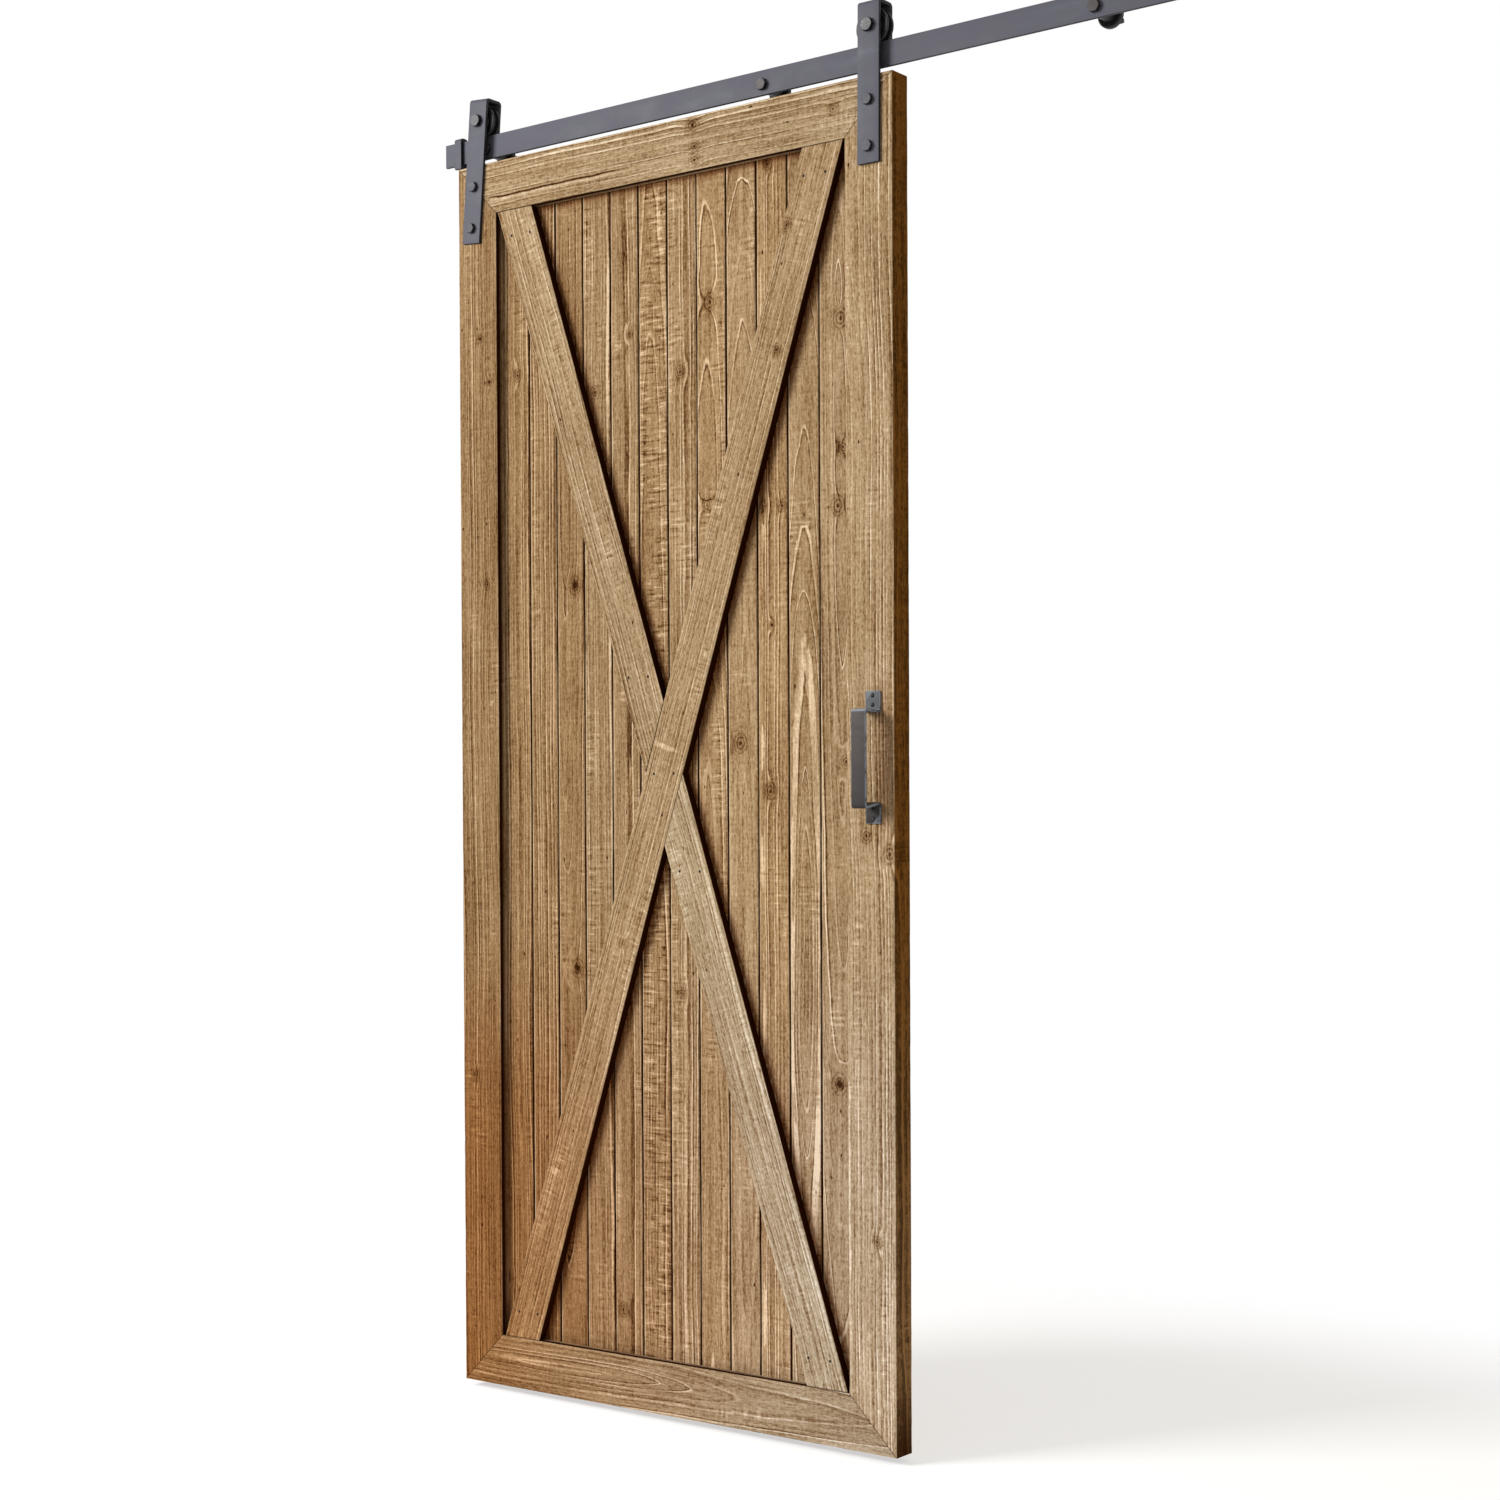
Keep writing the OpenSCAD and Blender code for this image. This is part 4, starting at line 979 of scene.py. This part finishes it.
def board_wood(name, ring_width, wood, lines):
    """Stained board. Rings, as strong as lines says, streaks, fibres, saw marks, knots and pits add up to
    one lightness, which a ramp turns into the colours of the stain. Its edges are worn pale, with a
    painted highlight beside the planks' left arrises, its seams are dark with stain and with painted
    shade at the planks' right arrises, and its sides are dark with stain and painted shade."""
    material, t, shader = new_material(name)
    grain = t.attribute("grain").outputs["Vector"]
    pith = t.attribute("pith").outputs["Vector"]
    tone = t.attribute("tone").outputs["Color"]
    edges = t.parts(t.attribute("edges").outputs["Vector"])
    knots = t.group(knot_group(), grain=grain)
    rings = t.group(ring_group(), grain=grain, pith=pith, width=ring_width, bend=knots["Bend"])
    fibres = t.group(fibre_group(), grain=grain)
    saw = t.group(saw_group(), grain=grain, amount=t.attribute("sawn").outputs["Fac"])

    fabric = [
        (fibres["Streak"], 0.80), (fibres["Fibre"], 0.78), (fibres["Speck"], 0.62),
        (fibres["Hair"], 0.26), (fibres["Cloud"], 0.45),
    ]
    marks = [
        (rings["Pale"], 0.52 * lines), (rings["Dark"], -0.36 * lines), (saw["Mark"], 0.24),
        (knots["Heart"], -0.50), (knots["Eye"], -0.24), (knots["Halo"], -0.07),
        (knots["Shake"], -0.62), (knots["Lip"], 0.30), (knots["Scar"], 0.28), (fibres["Pit"], -0.55),
    ]
    lightness = WOOD_LIGHTNESS - sum(share for _, share in fabric) / 2
    for value, share in fabric + marks:
        lightness = t.plus(value, share, lightness)
    colour = t.tinted(stain_ramp(t, lightness, wood), tone)

    ragged = t.plus(fibres["Cloud"], 0.004, -0.002)
    low = t.math("ADD", edges[0], ragged)
    high = t.math("SUBTRACT", edges[1], ragged)
    flat = t.fades(t.attribute("side").outputs["Fac"], 0.5, 0.9)
    if name == "plank_wood":
        # On the planks this pale line beside the left arris is a painted highlight where the rounded
        # arris meets the light.
        worn = t.between(low, 0.0018, 0.0040, 0.50, 0.0)
        # Dark at the right arris: stain in the joint with painted shade over it.
        seam = t.math("MAXIMUM", t.fades(high, 0.0010, 0.0038), t.fades(edges[0], 0.0002, 0.0010))
        seam = t.times(seam, t.between(fibres["Cloud"], 0.35, 0.60, 0.72, 1.0))
    else:
        worn = t.between(t.math("MINIMUM", low, high), 0.0010, 0.0030, 0.28, 0.0)
        seam = t.between(edges[2], 0.0004, 0.0018, 0.60, 0.0)
    worn = t.times(worn, t.between(fibres["Cloud"], 0.40, 0.60, 0.25, 1.0))
    colour = t.mix(t.times(worn, flat), colour, wood.pale)
    colour = t.mix(seam, colour, wood.seam)

    height = t.parts(t.add("TexCoord").outputs["Object"])[2]
    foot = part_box("bottom_rail")[0][2]
    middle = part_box("handle")[0][2]
    # Outer sides: dark stain with painted shade, and darker towards the bottom.
    outer = t.mix(t.between(height, foot, middle), wood.low_side, wood.side)
    outer = t.tinted(outer, t.grey(t.between(lightness, 0.20, 0.78, 0.45, 1.55)))
    outer = t.tinted(outer, tone)
    outer = t.mix(t.between(height, foot, foot + wood.dark_foot_reach, 0.85, 0.0), outer, wood.seam)
    # Inner sides, which face the panel, and all sides of planks and braces take the colour of the seams
    # as painted shade.
    stained = t.mix(t.attribute("inner").outputs["Fac"], outer, wood.seam)
    colour = t.mix(t.math("SUBTRACT", 1.0, flat), colour, stained)
    t.feed(shader.inputs["Base Color"], colour)
    shader.inputs["Roughness"].default_value = WOOD_ROUGHNESS
    shader.inputs["Specular IOR Level"].default_value = 0.0

    reliefs = [
        (rings["Pale"], 0.60), (saw["Mark"], 0.45), (fibres["Hair"], 0.20), (fibres["Pit"], -1.2),
        (knots["Eye"], -0.4),
    ]
    relief = t.times(fibres["Fibre"], 0.80)
    for value, share in reliefs:
        relief = t.plus(value, share, relief)
    raise_surface(t, shader, relief, strength=0.6, distance=0.0010)
    return material


def patina_group():
    """Mottling, worn patches, faint scratches and fine grain of rolled and oiled steel."""
    if "Steel Patina" in bpy.data.node_groups:
        return bpy.data.node_groups["Steel Patina"]
    t, given, made = new_group(
        "Steel Patina", [("Scale", "Float")], ["Mottle", "Patch", "Scratch", "Fine"])
    scaled = t.vector("SCALE", t.add("TexCoord").outputs["Object"])
    t.feed(scaled.node.inputs["Scale"], given["Scale"])
    t.feed(made["Mottle"], t.noise(t.scaled(scaled, 14, 14, 22), 4.0, 0.6))
    worn = t.noise(t.vector("ADD", t.scaled(scaled, 5, 5, 40), (2.0, 0.0, 0.0)), 3.0, 0.6)
    t.feed(made["Patch"], t.between(worn, 0.56, 0.72))
    t.feed(made["Fine"], t.noise(t.scaled(scaled, 500, 500, 500), 2.0))
    lines = t.noise(t.scaled(scaled, 30, 30, 700), 2.0, 0.7)
    t.feed(made["Scratch"], t.between(lines, 0.66, 0.76))
    return t.tree


class Finish(NamedTuple):
    """How a steel surface looks: how far its mottling varies the colour, its roughness, its metallic
    share and how fine its pattern is."""

    spread: float
    roughness: float
    metallic: float
    scale: float


def shaded(colour, share):
    """A colour times a share."""
    return tuple(share * c for c in colour)


def steel(name, colour, finish, sides=None, bare=None, feet=None):
    """Steel whose colour varies over its mottling, with faint scratches and a fine grain. What faces
    along the wall takes the colour of the sides as painted shade, the rims of a bar that of bare steel,
    its folds that face upwards that of bare steel as a painted highlight, and what lies on the door that
    of the feet."""
    material, t, shader = new_material(name)
    patina = t.group(patina_group(), scale=finish.scale)
    normal = t.add("NewGeometry").outputs["Normal"]
    turned = t.math("ABSOLUTE", t.vector("DOT_PRODUCT", normal, tuple(DEPTH)))
    dark = shaded(colour, 1 - finish.spread)
    light = shaded(colour, 1 + finish.spread)
    patch = tuple(c * share for c, share in zip(colour, WORN_TINT))
    tint = t.mix(t.between(patina["Mottle"], 0.30, 0.70), dark, light)
    tint = t.mix(t.times(patina["Patch"], 0.6), tint, patch)
    tint = t.mix(t.times(patina["Scratch"], 0.25), tint, shaded(colour, 1.3))
    # Painted shade on every surface that faces neither the front nor the back.
    if sides:
        tint = t.mix(t.fades(turned, 0.3, 0.7), tint, sides)
    if feet:
        # The handle is darker towards the bottom and lighter towards the top, and its feet are paler, the
        # upper foot more than the lower.
        place = t.parts(t.add("TexCoord").outputs["Object"])
        low, high = box_of("handle")
        tint = t.tinted(tint, t.grey(t.between(place[2], low[2], high[2], 0.50, 1.55)))
        lying = t.between(place[1], high[1] - FEET_START, high[1] - FEET_FULL)
        tint = t.mix(t.times(lying, t.between(place[2], low[2], high[2])), tint, feet)
    if bare:
        worn = t.fades(t.attribute("rim").outputs["Fac"], 0.0002, 0.0015)
        worn = t.times(worn, t.between(patina["Mottle"], 0.36, 0.56, 0.20, 0.90))
        # Painted highlight: folds that face upwards take the colour of bare steel.
        upward = t.vector("DOT_PRODUCT", normal, tuple(UPRIGHT))
        fold = t.times(t.between(upward, 0.20, 0.45), t.between(turned, 0.25, 0.45))
        tint = t.mix(t.math("MAXIMUM", worn, fold), tint, bare)
    t.feed(shader.inputs["Base Color"], tint)
    t.feed(shader.inputs["Roughness"], t.between(
        patina["Mottle"], 0.25, 0.75, finish.roughness - 0.07, finish.roughness + 0.09))
    shader.inputs["Metallic"].default_value = finish.metallic
    shader.inputs["Specular IOR Level"].default_value = 0.25
    relief = t.plus(patina["Scratch"], -0.4, patina["Fine"])
    raise_surface(t, shader, relief, strength=0.25, distance=0.0003)
    return material


SATIN = Finish(spread=0.16, roughness=0.55, metallic=0.0, scale=1.0)
FORGED = Finish(spread=0.25, roughness=0.50, metallic=0.0, scale=3.0)
BLACKED = Finish(spread=0.30, roughness=0.38, metallic=0.0, scale=4.0)
OILED = Finish(spread=0.30, roughness=0.24, metallic=0.0, scale=4.0)
TURNED = Finish(spread=0.20, roughness=0.45, metallic=0.0, scale=4.0)
RUSTED = Finish(spread=0.30, roughness=0.80, metallic=0.0, scale=4.0)
BRIGHT = Finish(spread=0.15, roughness=0.40, metallic=0.8, scale=4.0)
BRONZED = Finish(spread=0.15, roughness=0.35, metallic=1.0, scale=1.0)
RAW_WOOD = Finish(spread=0.15, roughness=0.70, metallic=0.0, scale=3.0)


def dress(nodes, material):
    """Gives CAD nodes their material."""
    for node in nodes:
        slots = NODES[node].data.materials
        slots.clear()
        slots.append(material)


# Operators

class BARNDOOR_OT_frame_boards(bpy.types.Operator):
    """Build the stiles and rails of the door's frame"""

    bl_idname = "barndoor.frame_boards"
    bl_label = "Frame Boards"

    def execute(self, context):
        sizes = context.scene.barn_boards
        wood = context.scene.barn_wood
        material = board_wood("frame_wood", wood.frame_rings, wood, lines=0.75)
        members = {
            "left_stile": (UPRIGHT, 1), "right_stile": (UPRIGHT, -1),
            "top_rail": (LEVEL, 1), "bottom_rail": (LEVEL, -1),
        }
        for node, (grain, groove_side) in members.items():
            ends = long_edges(node, grain)
            outline = board_section(
                ends[0][0], ends[1][0], thickness_of(node), sizes, sizes.arris, groove_side)
            build_board(node, grain, outline, ends, material, (sizes, wood), "frame_wood", groove_side)
        return {"FINISHED"}


class BARNDOOR_OT_planks(bpy.types.Operator):
    """Build the tongue and groove planks"""

    bl_idname = "barndoor.planks"
    bl_label = "Planks"

    def execute(self, context):
        sizes = context.scene.barn_boards
        wood = context.scene.barn_wood
        material = board_wood("plank_wood", wood.plank_rings, wood, lines=1.0)
        planks = [node for node in TIMBER if node.startswith("plank")]
        for node in planks:
            tongue = node != planks[-1]
            (low, start, end), (high, _, _) = long_edges(node, UPRIGHT)
            high -= sizes.tongue_length if tongue else 0.0
            outline = plank_section(low, high, thickness_of(node), sizes, tongue, node != planks[0])
            ends = ((low, start, end), (high, start, end))
            build_board(node, UPRIGHT, outline, ends, material, (sizes, wood), "plank_wood")
        return {"FINISHED"}


class BARNDOOR_OT_braces(bpy.types.Operator):
    """Build the long brace and the two half braces of the X"""

    bl_idname = "barndoor.braces"
    bl_label = "Braces"

    def execute(self, context):
        sizes = context.scene.barn_boards
        wood = context.scene.barn_wood
        material = board_wood("brace_wood", wood.brace_rings, wood, lines=0.65)
        for node in ("long_brace", "upper_brace", "lower_brace"):
            grain = brace_grain(node)
            ends = long_edges(node, grain)
            outline = board_section(ends[0][0], ends[1][0], thickness_of(node), sizes, sizes.arris)
            build_board(node, grain, outline, ends, material, (sizes, wood), "brace_wood")
        return {"FINISHED"}


class BARNDOOR_OT_track(bpy.types.Operator):
    """Build the track bar and its stops, and finish its standoffs"""

    bl_idname = "barndoor.track"
    bl_label = "Track"

    def execute(self, context):
        look = context.scene.barn_steel
        satin = steel("satin_steel", look.satin, SATIN, sides=look.painted_side_shade)
        low, high = box_of("track_rail")
        length, depth, height = high - low
        path = folded_path((length,), (), look.fold, look.edge)
        origin = middle_of("track_rail") - LEVEL * length / 2
        build_bar("track_rail", "track", path, (origin, LEVEL, -DEPTH), (height, depth), look.edge, satin)
        thickness = look.stop_thickness
        for node in ("left_stop", "right_stop"):
            low, high = box_of(node)
            width, depth, height = high - low
            leg = height - thickness
            path = strap_path(
                (thickness, depth - 2 * thickness), 0.0, leg, leg, look.stop_fold, look.edge)
            place = (np.array([(low[0] + high[0]) / 2, low[1] + thickness / 2, low[2]]), UPRIGHT, DEPTH)
            build_bar(node, "track", path, place, (width, thickness), look.edge, satin)
        dress(["standoffs"], steel("standoff_steel", look.fastener, BLACKED))
        return {"FINISHED"}


class BARNDOOR_OT_hangers(bpy.types.Operator):
    """Build the two straps that are folded over the wheels"""

    bl_idname = "barndoor.hangers"
    bl_label = "Hangers"

    def execute(self, context):
        look = context.scene.barn_steel
        strap = steel("strap_steel", look.satin, SATIN, sides=look.painted_side_shade)
        thickness = look.strap_thickness
        for side, lean in (("left", look.left_lean), ("right", look.right_lean)):
            node = side + "_hanger"
            gap = thickness_of(node) - 2 * thickness
            path = strap_path(
                (thickness, gap), look.strap_rise, look.strap_drop, look.strap_tail, look.fold, look.edge)
            upward = np.array([math.sin(lean), 0.0, math.cos(lean)])
            origin = middle_of(side + "_wheel") - upward * look.strap_drop - DEPTH * (gap + thickness) / 2
            place = (origin, upward, DEPTH)
            build_bar(node, "door", path, place, (look.strap_width, thickness), look.edge, strap)
        return {"FINISHED"}


class BARNDOOR_OT_wheels(bpy.types.Operator):
    """Finish the grooved wheels and their bushes"""

    bl_idname = "barndoor.wheels"
    bl_label = "Wheels"

    def execute(self, context):
        look = context.scene.barn_steel
        dress(["left_wheel", "right_wheel"], steel("wheel_steel", look.fastener, BLACKED))
        dress(["left_wheel_bush", "right_wheel_bush"], steel("bush_bronze", look.bronze, BRONZED))
        return {"FINISHED"}


class BARNDOOR_OT_handle(bpy.types.Operator):
    """Build the handle: foot, leg, grip, leg and foot folded from one bar"""

    bl_idname = "barndoor.handle"
    bl_label = "Handle"

    def execute(self, context):
        look = context.scene.barn_steel
        thickness = look.handle_thickness
        bend = look.fold + thickness / 2
        legs = [
            (look.finger_gap - 2 * bend * (1 + math.sin(slope))) / math.cos(slope)
            for slope in (look.upper_slope, look.lower_slope)
        ]
        upper = math.pi / 2 + look.upper_slope
        lower = math.pi / 2 + look.lower_slope
        runs = (look.upper_foot, legs[0], look.grip, legs[1], look.lower_foot)
        path = folded_path(runs, (upper, -upper, -lower, lower), bend, look.edge)
        low, high = box_of("handle")
        origin = np.array([(low[0] + high[0]) / 2, high[1] - thickness / 2, high[2]])
        iron = steel("handle_iron", look.iron, FORGED, sides=look.painted_side_shade, bare=look.bare, feet=look.feet)
        size = (high[0] - low[0], thickness)
        build_bar("handle", "door", path, (origin, -UPRIGHT, -DEPTH), size, look.edge, iron)
        return {"FINISHED"}


class BARNDOOR_OT_fasteners(bpy.types.Operator):
    """Finish the bolts, nuts, washers, screws, nails and dowels"""

    bl_idname = "barndoor.fasteners"
    bl_label = "Fasteners"

    def execute(self, context):
        look = context.scene.barn_steel
        black = steel("black_fastener", look.fastener, BLACKED)
        dress(["axle_bolts"], steel("axle_steel", shaded(look.fastener, 0.5), OILED))
        dress(["axle_nuts", "door_washers", "door_nuts", "stop_screws", "handle_screws"], black)
        # The bolt heads take painted shade on their sides.
        dress(["door_bolts"], steel("bolt_steel", shaded(look.satin, 0.6), TURNED, sides=look.painted_side_shade))
        dress(["wall_bolts"], steel("lag_steel", look.iron, TURNED, sides=look.painted_side_shade))
        dress(["brace_nails"], steel("nail_iron", look.nail, RUSTED))
        dress(["axle_washers"], steel("washer_steel", look.bare, BRIGHT))
        dress(["corner_dowels"], steel("dowel_wood", context.scene.barn_wood.pale, RAW_WOOD))
        return {"FINISHED"}


class BARNDOOR_OT_stage(bpy.types.Operator):
    """Set up the camera, the lamps, the white surroundings and the floor"""

    bl_idname = "barndoor.stage"
    bl_label = "Stage"

    def execute(self, context):
        look = context.scene.barn_stage
        self.set_camera(context, look)
        self.set_world(context, look)
        self.hang_lamp(context, look)
        self.lay_floor(context, look)
        context.scene.view_settings.view_transform = "Standard"
        return {"FINISHED"}

    def set_camera(self, context, look):
        """Stands the camera where the photograph was taken from."""
        camera = bpy.data.objects.new("camera", bpy.data.cameras.new("camera"))
        context.scene.collection.objects.link(camera)
        camera.location = look.camera_place
        camera.rotation_euler = look.camera_turn
        camera.data.lens = look.lens
        camera.data.shift_y = look.rise
        context.scene.camera = camera

    def set_world(self, context, look):
        """White to the eye and in reflections, and a soft warm light for everything else."""
        world = bpy.data.worlds.new("white_surroundings")
        world.use_nodes = True
        context.scene.world = world
        t = Tree(world.node_tree)
        path = t.add("LightPath").outputs
        seen = t.math("MAXIMUM", path["Is Camera Ray"], path["Is Glossy Ray"])
        seen = t.math("MAXIMUM", seen, path["Is Transmission Ray"])
        colour = t.mix(seen, look.ambient, (1.0, 1.0, 1.0))
        t.feed(world.node_tree.nodes["Background"].inputs["Color"], colour)

    def hang_lamp(self, context, look):
        """Hangs the main lamp and points it at the middle of the door."""
        lamp = bpy.data.lights.new("key", "AREA")
        lamp.size = look.key_size
        lamp.energy = look.key_power
        key = bpy.data.objects.new("key", lamp)
        context.scene.collection.objects.link(key)
        low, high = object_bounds()
        key.location = look.key_place
        key.rotation_euler = ((low + high) / 2 - key.location).to_track_quat("-Z", "Y").to_euler()

    def lay_floor(self, context, look):
        """Lays a white floor that fades out into the surroundings."""
        low, high = (np.array(corner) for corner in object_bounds())
        reach = 2 * look.floor_reach
        level = low[2] - look.floor_gap
        corners = [(low[0] - reach, low[1] - reach), (high[0] + reach, low[1] - reach),
                   (high[0] + reach, high[1] + reach), (low[0] - reach, high[1] + reach)]
        mesh = bpy.data.meshes.new("floor")
        mesh.from_pydata([(x, y, level) for x, y in corners], [], [(0, 1, 2, 3)])
        floor = bpy.data.objects.new("floor", mesh)
        context.scene.collection.objects.link(floor)
        material, t, shader = new_material("white_floor")
        middle = (low + high) / 2
        place = t.vector("SUBTRACT", t.add("TexCoord").outputs["Object"], (middle[0], middle[1], level))
        far = t.vector("LENGTH", t.vector("DIVIDE", place, tuple((high - low) / 2 + look.floor_reach)))
        t.feed(shader.inputs["Alpha"], t.fades(far, 0.45, 0.95))
        shader.inputs["Base Color"].default_value = (FLOOR_GREY, FLOOR_GREY, FLOOR_GREY, 1.0)
        shader.inputs["Roughness"].default_value = 0.9
        shader.inputs["Specular IOR Level"].default_value = 0.0
        shader.inputs["Emission Color"].default_value = (1.0, 1.0, 1.0, 1.0)
        shader.inputs["Emission Strength"].default_value = FLOOR_GLOW
        mesh.materials.append(material)
        floor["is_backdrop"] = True


class BARNDOOR_PT_sidebar(bpy.types.Panel):
    """Steps that dress the door, in order"""

    bl_idname = "BARNDOOR_PT_sidebar"
    bl_label = "Barn Door"
    bl_space_type = "VIEW_3D"
    bl_region_type = "UI"
    bl_category = "Barn Door"

    def draw(self, context):
        for operator in STEPS:
            self.layout.operator(operator.bl_idname)


STEPS = (
    BARNDOOR_OT_frame_boards,
    BARNDOOR_OT_planks,
    BARNDOOR_OT_braces,
    BARNDOOR_OT_track,
    BARNDOOR_OT_hangers,
    BARNDOOR_OT_wheels,
    BARNDOOR_OT_handle,
    BARNDOOR_OT_fasteners,
    BARNDOOR_OT_stage,
)
SETTINGS = {
    "barn_boards": BoardSettings,
    "barn_wood": WoodSettings,
    "barn_steel": SteelSettings,
    "barn_stage": StageSettings,
}


def register():
    """Adds the settings, the operators and the panel."""
    for group in SETTINGS.values():
        bpy.utils.register_class(group)
    for name, group in SETTINGS.items():
        setattr(bpy.types.Scene, name, PointerProperty(type=group))
    for operator in STEPS:
        bpy.utils.register_class(operator)
    bpy.utils.register_class(BARNDOOR_PT_sidebar)


def unregister():
    """Takes them out again, in the opposite order."""
    bpy.utils.unregister_class(BARNDOOR_PT_sidebar)
    for operator in reversed(STEPS):
        bpy.utils.unregister_class(operator)
    for name, group in SETTINGS.items():
        delattr(bpy.types.Scene, name)
        bpy.utils.unregister_class(group)


def main():
    """Builds every piece and the stage."""
    register()
    bpy.ops.barndoor.frame_boards()
    bpy.ops.barndoor.planks()
    bpy.ops.barndoor.braces()
    bpy.ops.barndoor.track()
    bpy.ops.barndoor.hangers()
    bpy.ops.barndoor.wheels()
    bpy.ops.barndoor.handle()
    bpy.ops.barndoor.fasteners()
    bpy.ops.barndoor.stage()


if __name__ == "__main__":
    main()
